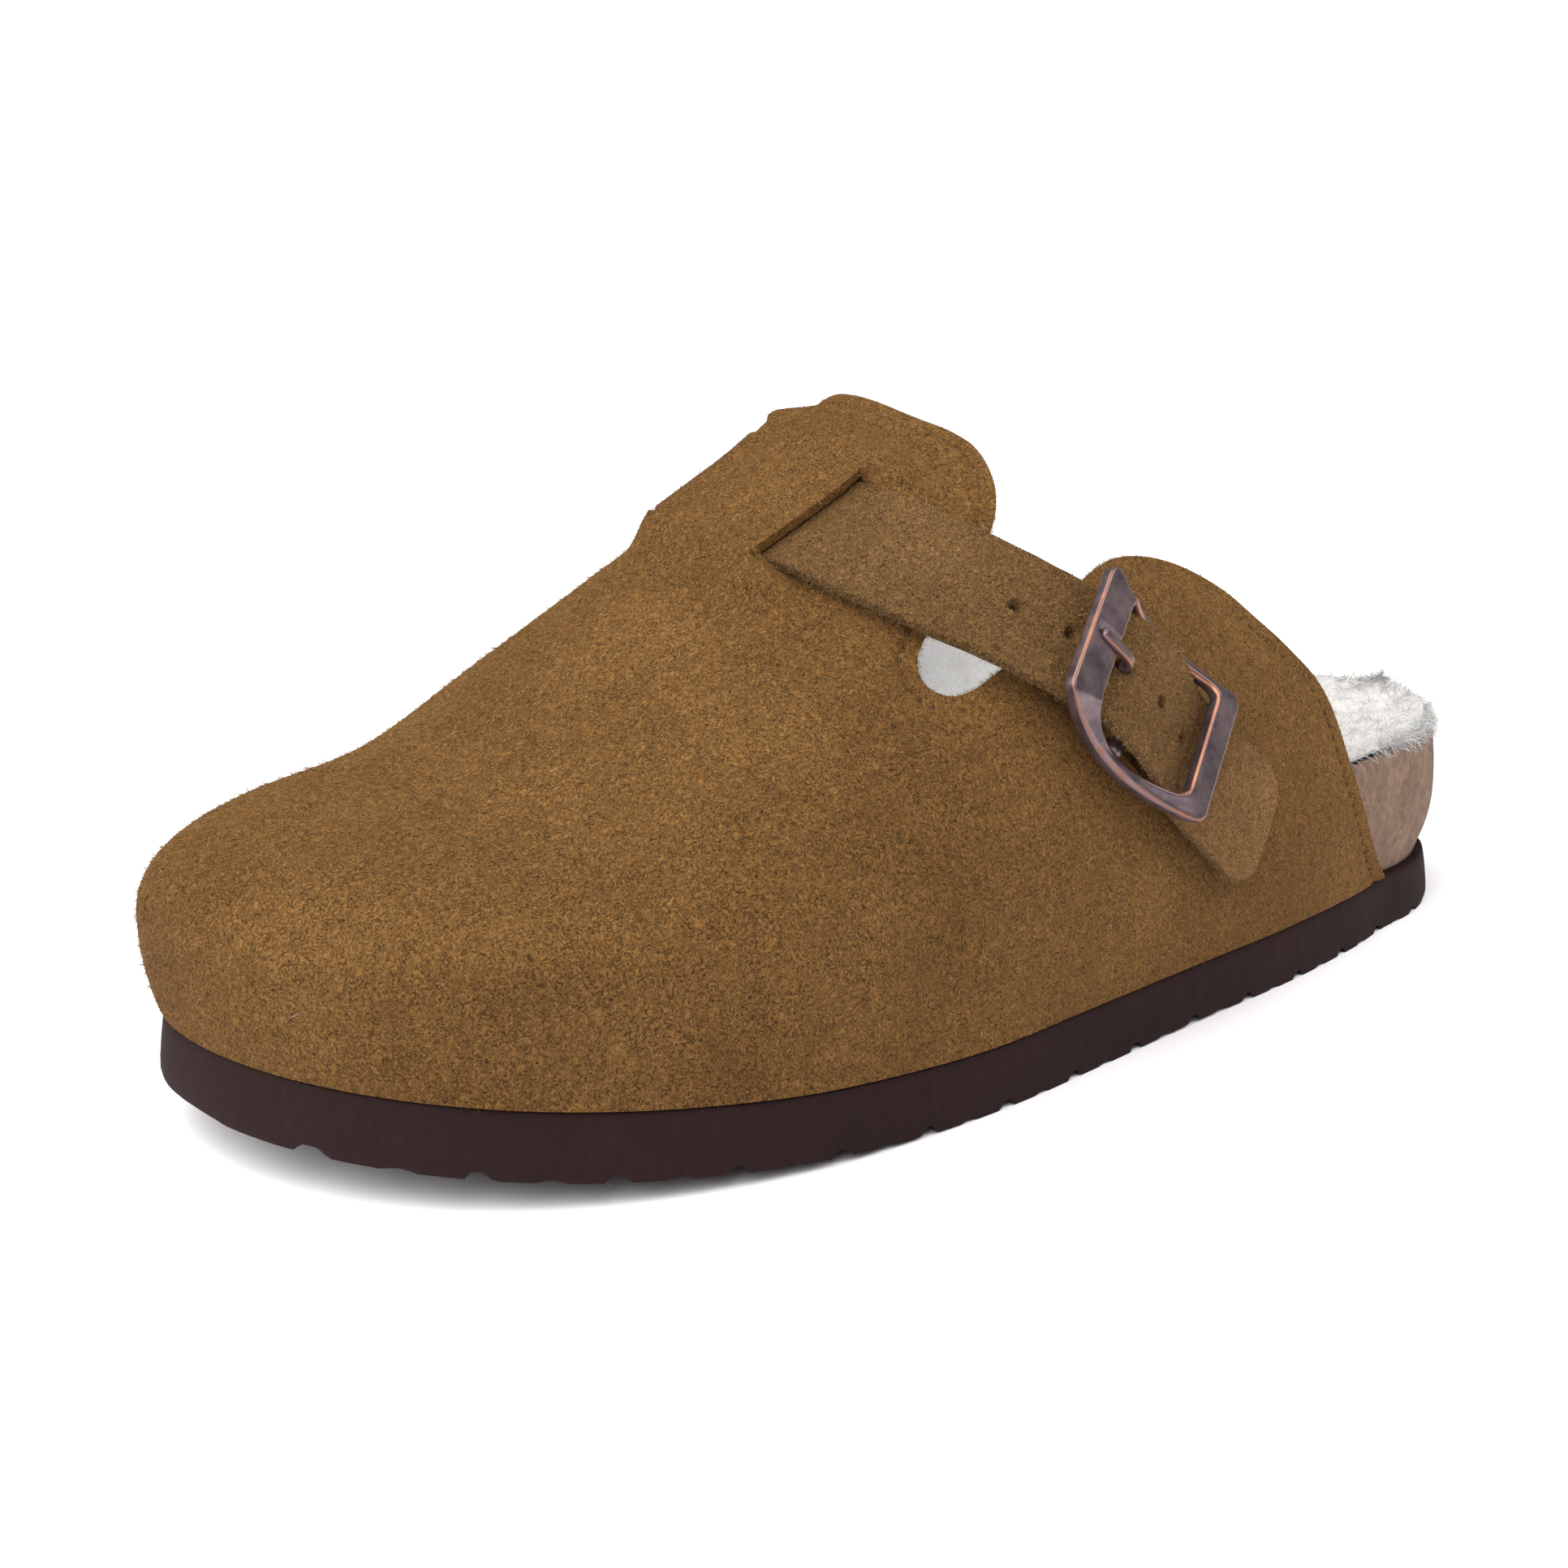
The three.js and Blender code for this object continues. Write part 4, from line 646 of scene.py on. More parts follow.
NOTCH_AT = TOPLINE[NOTCH_ROW, 0]
notch_girth = float(wing_top(np.array(NOTCH_AT)))
slit_turn = np.degrees(SLIT_GAP / (BALL_WIDTH / 2)) / 180 * (1 - 2 * LOWER_SHARE)
slits = LOWER_SHARE + np.array([SLIT_LATERAL, SLIT_MEDIAL]) / 180 * (1 - 2 * LOWER_SHARE)
wing_columns = np.concatenate([
    np.linspace(0, LOWER_SHARE, 11), np.linspace(LOWER_SHARE, notch_girth, 23)[1:],
])
girths = np.concatenate([
    wing_columns, np.linspace(notch_girth, slits[0] - slit_turn, 30)[1:],
    np.linspace(slits[0] + slit_turn, slits[1] - slit_turn, 27),
    np.linspace(slits[1] + slit_turn, 1 - notch_girth, 48), (1 - wing_columns[::-1])[1:],
])
cuts = [int(np.argmin(np.abs(girths - (edge - slit_turn)))) for edge in slits]
edge_at = np.full(girths.shape, NOTCH_AT)
over = (girths > notch_girth + 1e-9) & (girths < 1 - notch_girth - 1e-9)
edge_at[over] = tongue_edge(girths[over])
slit_angle = np.clip(angle_of(girths), SLIT_LATERAL, SLIT_MEDIAL)
strap_at = np.interp(slit_angle, STRAP_PATH[::-1, 1], STRAP_PATH[::-1, 0])
slit_from, slit_to = strap_at - SLIT_HALF / BRIDGE_SPEED, strap_at + SLIT_HALF / BRIDGE_SPEED
split = np.interp(girths, girths[cuts], ((slit_from - edge_at) / (slit_to - edge_at))[cuts])
slit_rows = [14, 36]
front = np.vstack([
    edge_at + (slit_to - edge_at) * split * np.linspace(0, 1, 15)[:-1, None],
    edge_at + (slit_to - edge_at) * (split + (1 - split) * np.linspace(0, 1, 23)[:-1, None]),
    np.linspace(slit_to, TOE_FROM + 0 * girths, 10)[:-1],
    TOE_FROM + (TOE_TIP - TOE_FROM) * np.sin(np.linspace(0, np.pi / 2, 66))[:, None] + 0 * girths,
])
front_girth = front * 0 + girths
path_length = np.concatenate([[0], np.cumsum(np.linalg.norm(np.diff(wing_line, axis=0), axis=1))])
foot = np.interp(SOLE_THICK + CLEARANCE, wing_line[:, 1], path_length)
wing = np.interp(np.linspace(foot, path_length[-1], 112), path_length, wing_line[:, 0])[:, None] / LENGTH
wing = wing + 0 * wing_columns
wing_girth = wing_top(wing) * wing_columns / notch_girth

edge_line = np.concatenate([
    off_last(wing[:, -1], wing_girth[:, -1], 0 * wing[:, -1]),
    off_last(edge_at[over], girths[over], bridge_lift(edge_at[over], girths[over])),
    off_last(wing[:, -1], 1 - wing_girth[:, -1], 0 * wing[:, -1]),
])


def from_edge(points):
    """Distance from each point to the nearest place of the topline."""
    flat = points.reshape(-1, 3)
    blocks = np.array_split(flat, 40)
    near = [np.linalg.norm(block[:, None] - edge_line[None], axis=-1).min(1) for block in blocks]
    return np.concatenate(near).reshape(points.shape[:-1])


def upper_wall(at, girth, depth):
    """Place in the wall: the last with the bridge's rise, soft hand-made waves and the stitched trough."""
    lift = bridge_lift(at, girth)
    place = off_last(at, girth, lift)
    trough = 0.5 * np.exp(-((from_edge(place) - STITCH_INSET) / 0.8) ** 2)
    waves = 0.28 * hair(place / 16, 31) * smooth(place[..., 2] / 40)
    place = off_last(at, girth, lift + waves - trough - depth)
    base = (girth <= 0) | (girth >= 1)
    place[..., 2] = np.where(base, sole_top(place[..., 0] / LENGTH) + CLEARANCE, place[..., 2])
    return place


def walled(outer, inner, keep, joined):
    """Points and faces of a wall between two grids: both skins of the kept quads, and a rim wherever a
    kept quad has no neighbour. Joined grid sides (first row, last row) get no rim where marked."""
    number = np.arange(outer[..., 0].size).reshape(outer.shape[:2])
    a, b, c, d = number[:-1, :-1], number[:-1, 1:], number[1:, 1:], number[1:, :-1]
    beyond = np.pad(keep, 1)
    beyond[0, 1:-1], beyond[-1, 1:-1] = joined
    inside = number.size
    faces = [np.stack(f, -1)[keep] for f in ((a, b, c, d), (a + inside, d + inside, c + inside, b + inside))]
    for gone, first, second in ((~beyond[1:-1, :-2], a, d), (~beyond[1:-1, 2:], c, b),
                                (~beyond[:-2, 1:-1], b, a), (~beyond[2:, 1:-1], d, c)):
        faces.append(np.stack([first, second, second + inside, first + inside], -1)[keep & gone])
    return np.concatenate([outer.reshape(-1, 3), inner.reshape(-1, 3)]), np.concatenate(faces)


keep = np.ones((front.shape[0] - 1, front.shape[1] - 1), bool)
keep[slit_rows[0]:slit_rows[1], cuts] = False
seam = (girths[:-1] < notch_girth - 1e-9) | (girths[1:] > 1 - notch_girth + 1e-9)
skins = [(upper_wall(front, front_girth, 0), keep)]
parts = [walled(skins[0][0], upper_wall(front, front_girth, WALL), keep, (seam, True))]
for girth in (wing_girth, 1 - wing_girth[:, ::-1]):
    keep = np.ones((wing.shape[0] - 1, wing.shape[1] - 1), bool)
    skins.append((upper_wall(wing, girth, 0), keep))
    parts.append(walled(skins[-1][0], upper_wall(wing, girth, WALL), keep, (True, True)))
starts = np.cumsum([0] + [len(points) for points, _ in parts])


def suede(name, dark, light):
    """Brushed suede: nap flecks in two sizes over broad shading of the hand, with a raised, matt sheen."""
    material, tree, surface = finish(name, light, 0.96, Specular_IOR_Level=0.12, Sheen_Weight=0.22,
                                     Sheen_Roughness=0.55)
    surface.inputs["Sheen Tint"].default_value = linear(light)
    place = add(tree, "ShaderNodeTexCoord")
    nap = add(tree, "ShaderNodeTexNoise", Vector=(place, "Object"), Scale=1150.0, Detail=4.0,
              Roughness=0.7, Distortion=2.4)
    fine = add(tree, "ShaderNodeTexNoise", Vector=(place, "Object"), Scale=3800.0, Detail=2.0, Distortion=0.8)
    hand = add(tree, "ShaderNodeTexNoise", Vector=(place, "Object"), Scale=38.0, Detail=4.0, Roughness=0.55)
    tone = add(tree, "ShaderNodeValToRGB", Fac=(nap, "Fac"))
    tone.color_ramp.elements[0].color, tone.color_ramp.elements[1].color = linear(dark), linear(light)
    tone.color_ramp.elements[0].position, tone.color_ramp.elements[1].position = 0.38, 0.58
    shade = add(tree, "ShaderNodeMix", {"data_type": "RGBA", "blend_type": "SOFT_LIGHT"},
                n6=(tone, "Color"), n7=(hand, "Fac"))
    shade.inputs["Factor"].default_value = 0.5
    tree.links.new(shade.outputs[2], surface.inputs["Base Color"])
    raised = add(tree, "ShaderNodeBump", Height=(nap, "Fac"), Strength=1.0, Distance=0.0008)
    raised = add(tree, "ShaderNodeBump", Height=(fine, "Fac"), Normal=(raised, "Normal"),
                 Strength=0.5, Distance=0.0002)
    tree.links.new(raised.outputs["Normal"], surface.inputs["Normal"])
    return material


tan_suede = suede("brushed_tan_suede", "#3b2913", "#8f6839")
made = piece("upper_suede", np.concatenate([points for points, _ in parts]),
             np.concatenate([faces + start for (_, faces), start in zip(parts, starts)]), tan_suede,
             ["upper"])
edge = made.modifiers.new("cut_edge", "BEVEL")
edge.width, edge.segments, edge.limit_method, edge.angle_limit = 0.00045, 2, "ANGLE", np.radians(50)

# ---- Strap
# One band of the same suede with raw edges, sewn flat to the inner wing, led under the bridge and
# through the buckle. Five holes are punched along its middle, and its free end has round corners.

STRAP_CORNER, STRAP_EDGE = 8.0, 0.45
# Painted light on the strap: from the first height down to the second, its colour grows lighter by the given
# times
PAINTED_LIGHT_FROM, PAINTED_LIGHT_TO, PAINTED_LIGHT_GAIN = 0.058, 0.042, 1.5  # heights in m, and times lighter
HOLE_PITCH, HOLES_BEFORE, HOLES_AFTER, HOLE_RADIUS, HOLE_BLOCK = 9.3, 2, 2, 1.25, 2.4
FRAME_LENGTH, FRONT_BAR, REAR_BAR, PRONG_ROOM = 37.4, 7.1, 5.4, 4.2
PRONG_REACH = FRAME_LENGTH / 2 - FRONT_BAR - PRONG_ROOM
PIN_RADIUS, CHAPE_THICK = 1.4, 1.0
PIN_HEIGHT = 2 * CLEARANCE + CHAPE_THICK + PIN_RADIUS
LOOP_RADIUS = PIN_RADIUS + CLEARANCE + CHAPE_THICK
STRAP_OVER_PIN = PIN_HEIGHT + LOOP_RADIUS + CLEARANCE
# Distance from the pin in frame lengths, share of the strap's full rise over the pin
STRAP_RISE = np.array([
    [-1.5, 0], [-1.0, 0.12], [-0.5, 0.4], [-0.31, 0.56], [-0.14, 0.92], [0, 1],
    [0.14, 0.92], [0.31, 0.56], [0.5, 0.42], [0.7, 0.36], [1.0, 0.2],
])


def paced(points, count):
    """Curve through rows of points whose pace follows the square root of their spacing."""
    rows = np.vstack([2 * points[0] - points[1], points, 2 * points[-1] - points[-2]])
    a, b, c, d = (rows[k:len(points) - 1 + k, None] for k in range(4))
    pairs = (a, b), (b, c), (c, d)
    before, span, after = (np.linalg.norm(q - p, axis=-1, keepdims=True) ** 0.5 for p, q in pairs)
    leave = ((b - a) / before - (c - a) / (before + span) + (c - b) / span) * span
    reach = ((c - b) / span - (d - b) / (span + after) + (d - c) / after) * span
    t, rise = np.linspace(0, 1, count, endpoint=False)[None, :, None], c - b
    curve = b + t * (leave + t * (3 * rise - 2 * leave - reach + t * (leave + reach - 2 * rise)))
    return np.vstack([curve.reshape(-1, points.shape[1]), points[-1:]])


def unit(vectors):
    """Vectors at length 1."""
    return vectors / np.linalg.norm(vectors, axis=-1, keepdims=True)


def inner_product(a, b):
    """Inner product along the last axis, kept as an axis of one."""
    return (a * b).sum(-1, keepdims=True)


course = paced(STRAP_PATH / (1, 180, 180), 16)
rib_at, rib_girth = course[:, 0], LOWER_SHARE + course[:, 1] * (1 - 2 * LOWER_SHARE)
rib_point, rib_out = last_point(rib_at, rib_girth), last_normal(rib_at, rib_girth)
heading = np.gradient(rib_point, axis=0)
rib_along = unit(heading - rib_out * inner_product(heading, rib_out))
rib_across = np.cross(rib_out, rib_along)
rib_distance = np.concatenate([[0], np.cumsum(np.linalg.norm(np.diff(rib_point, axis=0), axis=1))])
rib_distance -= rib_distance[16 * PIN_ROW]
RIBS = np.column_stack([rib_at, rib_girth, np.maximum(180 * course[:, 2], 0), rib_point, rib_out, rib_across])


def walk(at, girth, across, distance):
    """Place reached by walking over the last in one direction: small strides along its two slopes."""
    for _ in range(4):
        step = np.clip(np.minimum(TOE_TIP - at, at - HEEL_TIP) / 3, 1e-7, 0.002)
        along = (last_point(at + step, girth) - last_point(at - step, girth)) / (2 * step[..., None])
        round_ = (last_point(at, girth + 0.002) - last_point(at, girth - 0.002)) / 0.004
        pairs = (along, along), (along, round_), (round_, round_)
        a, b, c = (inner_product(*pair)[..., 0] for pair in pairs)
        p, q = inner_product(across, along)[..., 0], inner_product(across, round_)[..., 0]
        step_at = (c * p - b * q) / (a * c - b * b)
        step_round = (a * q - b * p) / (a * c - b * b)
        stride = np.linalg.norm(along * step_at[..., None] + round_ * step_round[..., None], axis=-1)
        at, girth = at + step_at * distance / 4 / stride, girth + step_round * distance / 4 / stride
    return at, girth


def strap_point(s, v, h):
    """Place of the strap at a distance s from the pin, v aside from its middle and h above its underside."""
    s, v, h = np.broadcast_arrays(s, v, h)
    rib = np.stack([np.interp(s, rib_distance, column) for column in RIBS.T], -1)
    out, across = unit(rib[..., 6:9]), unit(rib[..., 9:12])
    at, girth = walk(rib[..., 0], rib[..., 1], across, v)
    point = last_point(at, girth)
    drop = np.maximum(inner_product(rib[..., 3:6] - point, out), 0)
    share = s / FRAME_LENGTH
    rise = np.where(share < STRAP_RISE[0, 0], 0, between(STRAP_RISE, np.clip(share, -1.5, 1), 1))
    level = CLEARANCE + (STRAP_OVER_PIN - CLEARANCE) * rise + rib[..., 2] + h - sunk(angle_of(girth))
    return point + last_normal(at, girth) * level[..., None] + out * drop * rise[..., None]


strap_ends = rib_distance[0], rib_distance[-1]
holes = np.arange(-HOLES_BEFORE, HOLES_AFTER + 1) * HOLE_PITCH - PRONG_REACH
cells = np.linspace(-HOLE_BLOCK, HOLE_BLOCK, 7)
lines = [hole + cells for hole in holes]
for low, high in zip([strap_ends[0] + STRAP_CORNER, *(holes + HOLE_BLOCK)],
                     [*(holes - HOLE_BLOCK), strap_ends[1] - STRAP_CORNER]):
    lines.append(np.linspace(low, high, max(int((high - low) / 1.2), 2) + 1)[1:-1])
turn = np.linspace(0, np.pi / 2, 9)
lines += [strap_ends[0] + STRAP_EDGE + (STRAP_CORNER - STRAP_EDGE) * (1 - np.sin(turn)),
          strap_ends[1] - STRAP_EDGE - (STRAP_CORNER - STRAP_EDGE) * (1 - np.sin(turn))]
s_lines = np.unique(np.round(np.concatenate(lines), 6))
cap = STRAP_EDGE * np.sin(np.linspace(0, np.pi / 2, 4))[1:]
s_rows = np.concatenate([strap_ends[0] + STRAP_EDGE - cap[::-1], s_lines, strap_ends[1] - STRAP_EDGE + cap])
flatness = np.cos(np.linspace(0, np.pi / 2, 4))[1:]
thin = np.concatenate([flatness[::-1], np.ones(len(s_lines)), flatness])
inner_half = STRAP_WIDTH / 2 - STRAP_EDGE
outer_lines = np.linspace(HOLE_BLOCK, inner_half, 9)[1:]
v_lines = np.concatenate([-outer_lines[::-1], cells, outer_lines])[::-1]
bend = np.linspace(0, np.pi / 2, 5)[1:]
side_h = STRAP_EDGE * (np.cos(bend) - 1) + STRAP_THICK
side_h = np.concatenate([side_h, STRAP_THICK - side_h[::-1]])
side_v = inner_half + STRAP_EDGE * np.concatenate([np.sin(bend), np.sin(bend[::-1])])
loop_v = np.concatenate([v_lines, -side_v, v_lines[::-1], side_v[::-1]])
loop_h = np.concatenate([0 * v_lines + STRAP_THICK, side_h, 0 * v_lines, side_h[::-1]])
left = np.minimum(s_rows - strap_ends[0], strap_ends[1] - s_rows)
corner = np.clip(1 - left / STRAP_CORNER, 0, 1)
narrowed = 1 - STRAP_CORNER * (1 - np.sqrt(1 - corner ** 2)) * 0.8 / (STRAP_WIDTH / 2)
drawn_in = 1 - 0.055 * smooth((45 - np.abs(s_rows)) / 25)
narrowed = narrowed * drawn_in
raw = 0.16 * hair(np.stack([s_rows[:, None] / 2.2 + 0 * loop_v, loop_v + 0 * s_rows[:, None]], -1), 41)
body_v = (loop_v + raw * (np.abs(loop_v) > inner_half)) * narrowed[:, None]
body_h = STRAP_THICK / 2 + (loop_h - STRAP_THICK / 2) * thin[:, None]
body = strap_point(s_rows[:, None], body_v, body_h)
grid = np.arange(body[..., 0].size).reshape(body.shape[:2])
quads = quads_of(grid, closed=True).reshape(grid.shape[0] - 1, grid.shape[1], 4)
keep = np.ones(quads.shape[:2], bool)
width = len(v_lines)
first_cell = int(np.argmin(np.abs(v_lines - HOLE_BLOCK)))
points, faces, taken = [body.reshape(-1, 3)], [], body[..., 0].size
side = np.arange(6)
block_s = np.concatenate([side, np.full(6, 6), 6 - side, np.zeros(6, int)])
block_v = np.concatenate([np.zeros(6, int), side, np.full(6, 6), 6 - side])
for hole in holes:
    row = int(np.argmin(np.abs(s_rows - (hole - HOLE_BLOCK))))
    under_cell = 2 * width + len(side_h) - 1 - first_cell - 6
    keep[row:row + 6, first_cell:first_cell + 6] = False
    keep[row:row + 6, under_cell:under_cell + 6] = False
    bearing = np.arctan2(cells[::-1][block_v], cells[block_s])
    rings = [(HOLE_RADIUS + 0.5, STRAP_THICK), (HOLE_RADIUS + 0.15, STRAP_THICK - 0.03),
             (HOLE_RADIUS, STRAP_THICK - 0.25), (0.8 * HOLE_RADIUS, STRAP_THICK - 1.1),
             (0.2 * HOLE_RADIUS, 0.4), (0.2 * HOLE_RADIUS, 0.1), (HOLE_RADIUS + 0.5, 0)]
    ring = np.stack([strap_point(hole + r * np.cos(bearing), r * np.sin(bearing), h) for r, h in rings])
    numbers = taken + np.arange(ring[..., 0].size).reshape(ring.shape[:2])
    top = grid[row + block_s, first_cell + block_v]
    bottom = grid[row + block_s, under_cell + 6 - block_v]
    faces.append(quads_of(np.vstack([top, numbers, bottom]), closed=True)[:, ::-1])
    points.append(ring.reshape(-1, 3))
    taken += ring[..., 0].size

brushed = suede("brushed_strap_suede_painted_light", "#3f2d19", "#83623b")
# Painted light: the strap's low free end is made lighter, up to half again, for light it would catch
tree = brushed.node_tree
surface = tree.nodes["Principled BSDF"]
shade = surface.inputs["Base Color"].links[0].from_node
place = add(tree, "ShaderNodeTexCoord")
height = add(tree, "ShaderNodeSeparateXYZ", Vector=(place, "Object"))
low = add(tree, "ShaderNodeMapRange", Value=(height, "Z"), From_Min=PAINTED_LIGHT_FROM, From_Max=PAINTED_LIGHT_TO,
          To_Min=1.0, To_Max=PAINTED_LIGHT_GAIN)
lighter = add(tree, "ShaderNodeMix", {"data_type": "RGBA", "blend_type": "MULTIPLY"},
              n6=(shade, 2), n7=(low, "Result"))
lighter.inputs["Factor"].default_value = 1.0
tree.links.new(lighter.outputs[2], surface.inputs["Base Color"])
piece("strap_suede", np.concatenate(points), np.concatenate([quads[keep], *faces]),
      brushed, ["strap"], sharp=60)

# ---- Lining
# White fleece glued inside the upper, ending a little short of the topline. It is seen through the
# throat notches and under the tongue, down to the pile of the insole.

LINING_THICK, LINING_SHORT, LINING_FIBRES = 2.2, 2.4, 9000
fleece = wool("white_fleece_lining", "#efeeec", "#fdfdfd")


def lining_skin(at, girth, depth):
    """Place in the fleece under the upper's wall, without the bridge's rise, clumped on its free side."""
    place = off_last(at, girth, 0 * at - WALL - depth)
    if depth > 1:
        place = off_last(at, girth, 0.5 * tufts(place[..., :2] + place[..., 2:]) - WALL - depth)
    return place


lining = []
lined = (front[:-1, 8:-8], front_girth[:-1, 8:-8]), (wing, wing_girth), (wing, 1 - wing_girth[:, ::-1])
for at, girth in lined:
    outer, inner = lining_skin(at, girth, 0.2), lining_skin(at, girth, LINING_THICK)
    free = (from_edge(outer) > LINING_SHORT) & (outer[..., 2] > sole_top(at) + rim_height(at) + 0.3)
    keep = free[:-1, :-1] & free[1:, :-1] & free[:-1, 1:] & free[1:, 1:]
    lining.append((*walled(outer, inner, keep, (False, False)), inner[1:, 1:][keep]))
starts = np.cumsum([0] + [len(points) for points, _, _ in lining])
piece("upper_fleece", np.concatenate([points for points, _, _ in lining]),
      np.concatenate([faces + start for (_, faces, _), start in zip(lining, starts)]),
      fleece, sharp=None)
rng = np.random.default_rng(24)
roots = np.concatenate([inner for _, _, inner in lining])
roots = roots[rng.permutation(len(roots))[:LINING_FIBRES]] + rng.normal(size=(LINING_FIBRES, 3)) * 0.4
inward = unit((LENGTH * 0.55, 0, 45) - roots) * (0.3, 1, 1)
leans = inward + rng.normal(size=(LINING_FIBRES, 3)) * 0.7
fibres("lining_wool", roots, leans, 2.6, 0.16, 0.5, fleece, 25, links=3)

# ---- Stitching
# Brown sewing thread that holds the fleece behind the topline. The short stitches lie sunk in the
# trough which they pull into the suede.

STITCH_PITCH, STITCH_LENGTH, THREAD_RADIUS = 2.6, 1.5, 0.2


def stitch_row(at, girth):
    """Seam that follows an edge of the upper at the stitching's inset, as evenly paced places."""
    edge_place, out = last_point(at, girth), last_normal(at, girth)
    inward = unit(np.cross(out, unit(np.gradient(edge_place, axis=0))))
    at, girth = walk(at, girth, inward, STITCH_INSET + 0 * at)
    row = upper_wall(at, girth, -0.05)
    pace = np.concatenate([[0], np.cumsum(np.linalg.norm(np.diff(row, axis=0), axis=1))])
    starts = np.arange(4, pace[-1] - 4, STITCH_PITCH)
    steps = starts[:, None] + STITCH_LENGTH * np.linspace(0, 1, 5)
    places = np.stack([np.interp(steps, pace, column) for column in row.T], -1)
    return places, np.stack([np.interp(steps, pace, column) for column in last_normal(at, girth).T], -1)


def threads(places, outs):
    """Rounded stitches along rows of places: six-sided tubes whose ends dive into the suede."""
    along = unit(np.gradient(places, axis=1))
    outs = unit(outs - along * inner_product(outs, along))
    aside = np.cross(along, outs)
    turn = np.linspace(0, 2 * np.pi, 7)[:-1]
    share = np.linspace(-1, 1, places.shape[1])
    thick = THREAD_RADIUS * np.sqrt(1.02 - share ** 2)[None, :, None, None]
    middle = places + outs * (0.16 - 0.5 * share ** 4)[None, :, None]
    around = outs[:, :, None] * np.cos(turn)[:, None] + aside[:, :, None] * np.sin(turn)[:, None]
    ring = middle[:, :, None] + thick * around
    first = np.arange(len(places))[:, None] * ring[0, ..., 0].size
    faces = quads_of(np.arange(ring[0, ..., 0].size).reshape(ring.shape[1:3]), closed=True)
    return ring.reshape(-1, 3), (first[..., None] + faces).reshape(-1, 4)


thread, tree, surface = finish("brown_thread", "#4c3722", 0.8, Specular_IOR_Level=0.3)
place = add(tree, "ShaderNodeTexCoord")
ply = add(tree, "ShaderNodeTexNoise", Vector=(place, "Object"), Scale=1800.0, Detail=2.0)
tone = add(tree, "ShaderNodeValToRGB", Fac=(ply, "Fac"))
tone.color_ramp.elements[0].color, tone.color_ramp.elements[1].color = linear("#3a2918"), linear("#5c452c")
tree.links.new(tone.outputs["Color"], surface.inputs["Base Color"])
above = wing_girth[:-1, -1] > 0.02
wing_at, wing_edge = wing[:-1, -1][above], wing_girth[:-1, -1][above]
edges_sewn = (
    (np.concatenate([wing_at, edge_at[over]]), np.concatenate([wing_edge, girths[over]])),
    (wing_at[::-1], 1 - wing_edge[::-1]),
)
sewn = [threads(*stitch_row(*edge)) for edge in edges_sewn]
starts = np.cumsum([0] + [len(points) for points, _ in sewn])
piece("upper_stitches", np.concatenate([points for points, _ in sewn]),
      np.concatenate([faces + start for (_, faces), start in zip(sewn, starts)]),
      thread, sharp=None)

# ---- Nap
# Brushed fibres of the suede, lying nearly flat in swept patches and frayed where the edges are cut.

NAP_FIBRES = 40000, 7000, 7000  # over the front and each wing
EDGE_FIBRES, STRAP_FIBRES = 5200, 9000


def spread(skin, keep, count, rng):
    """Evenly spread random places of a grid surface, with its two directions and outward normal."""
    a, b, c, d = skin[:-1, :-1], skin[:-1, 1:], skin[1:, :-1], skin[1:, 1:]
    area = np.linalg.norm(np.cross(b - a, c - a), axis=-1) * keep
    cell = rng.choice(area.size, count, p=area.ravel() / area.sum())
    a, b, c, d = (corner.reshape(-1, 3)[cell] for corner in (a, b, c, d))
    u, v = rng.uniform(size=(2, count, 1))
    normal = unit(np.cross(b - a, c - a) + 1e-12)
    return a * (1 - u) * (1 - v) + b * u * (1 - v) + c * (1 - u) * v + d * u * v, normal


rng = np.random.default_rng(51)
nap = suede("suede_nap", "#5e4322", "#c29359")
# Lighter fuzz on the cut edges: partly the raw edge's own colour, partly a painted highlight along them
frayed_and_highlit = suede("frayed_suede_edge_painted_highlight", "#6b543b", "#b4956f")
for number, (skin, keep) in enumerate(skins):
    roots, normal = spread(skin, keep, NAP_FIBRES[number], rng)
    above = roots[:, 2] > sole_top(roots[:, 0] / LENGTH) + 1.6
    roots, normal = roots[above], normal[above]
    swept = np.stack([hair(roots / 14, 61 + k) for k in range(3)], -1) + (0.5, 0, -0.5)
    lean = unit(swept - normal * inner_product(swept, normal)) + rng.normal(size=roots.shape) * 0.55
    lean = unit(lean - normal * inner_product(lean, normal)) + 0.22 * normal
    fibres(f"upper_nap_{number}", roots - 0.05 * normal, lean, 1.4, 0.12, 0.6, nap,
           71 + number, links=2)


def picked(rows, where):
    """Rows of places read at fractional row numbers."""
    return np.stack([np.interp(where, np.arange(len(rows)), column) for column in rows.T], -1)


edge_places, edge_lean = [], []
for at, girth in edges_sewn:
    rim, out = upper_wall(at, girth, 0), last_normal(at, girth)
    pick = rng.uniform(1, len(at) - 2, EDGE_FIBRES)
    rim, out = picked(rim, pick), picked(out, pick)
    away = unit(picked(np.gradient(last_point(at, girth), axis=0), pick))
    edge_places.append(rim - out * rng.uniform(0.1, WALL, (EDGE_FIBRES, 1)))
    edge_lean.append(unit(np.cross(away, out)) + rng.normal(size=rim.shape) * 0.6)
fibres("upper_edge_fuzz", np.concatenate(edge_places), np.concatenate(edge_lean), 0.95, 0.1, 0.6,
       frayed_and_highlit, 81, links=2)
side = np.where(rng.uniform(size=STRAP_FIBRES) < 0.5, 1.0, -1.0)
along = rng.uniform(strap_ends[0] + 6, strap_ends[1] - 6, STRAP_FIBRES)
half = np.interp(along, s_rows, drawn_in) * STRAP_WIDTH / 2 - 0.1
roots = strap_point(along, side * half, rng.uniform(0.2, STRAP_THICK, STRAP_FIBRES))
beyond = strap_point(along, side * (half + 1), 0 * along + STRAP_THICK / 2)
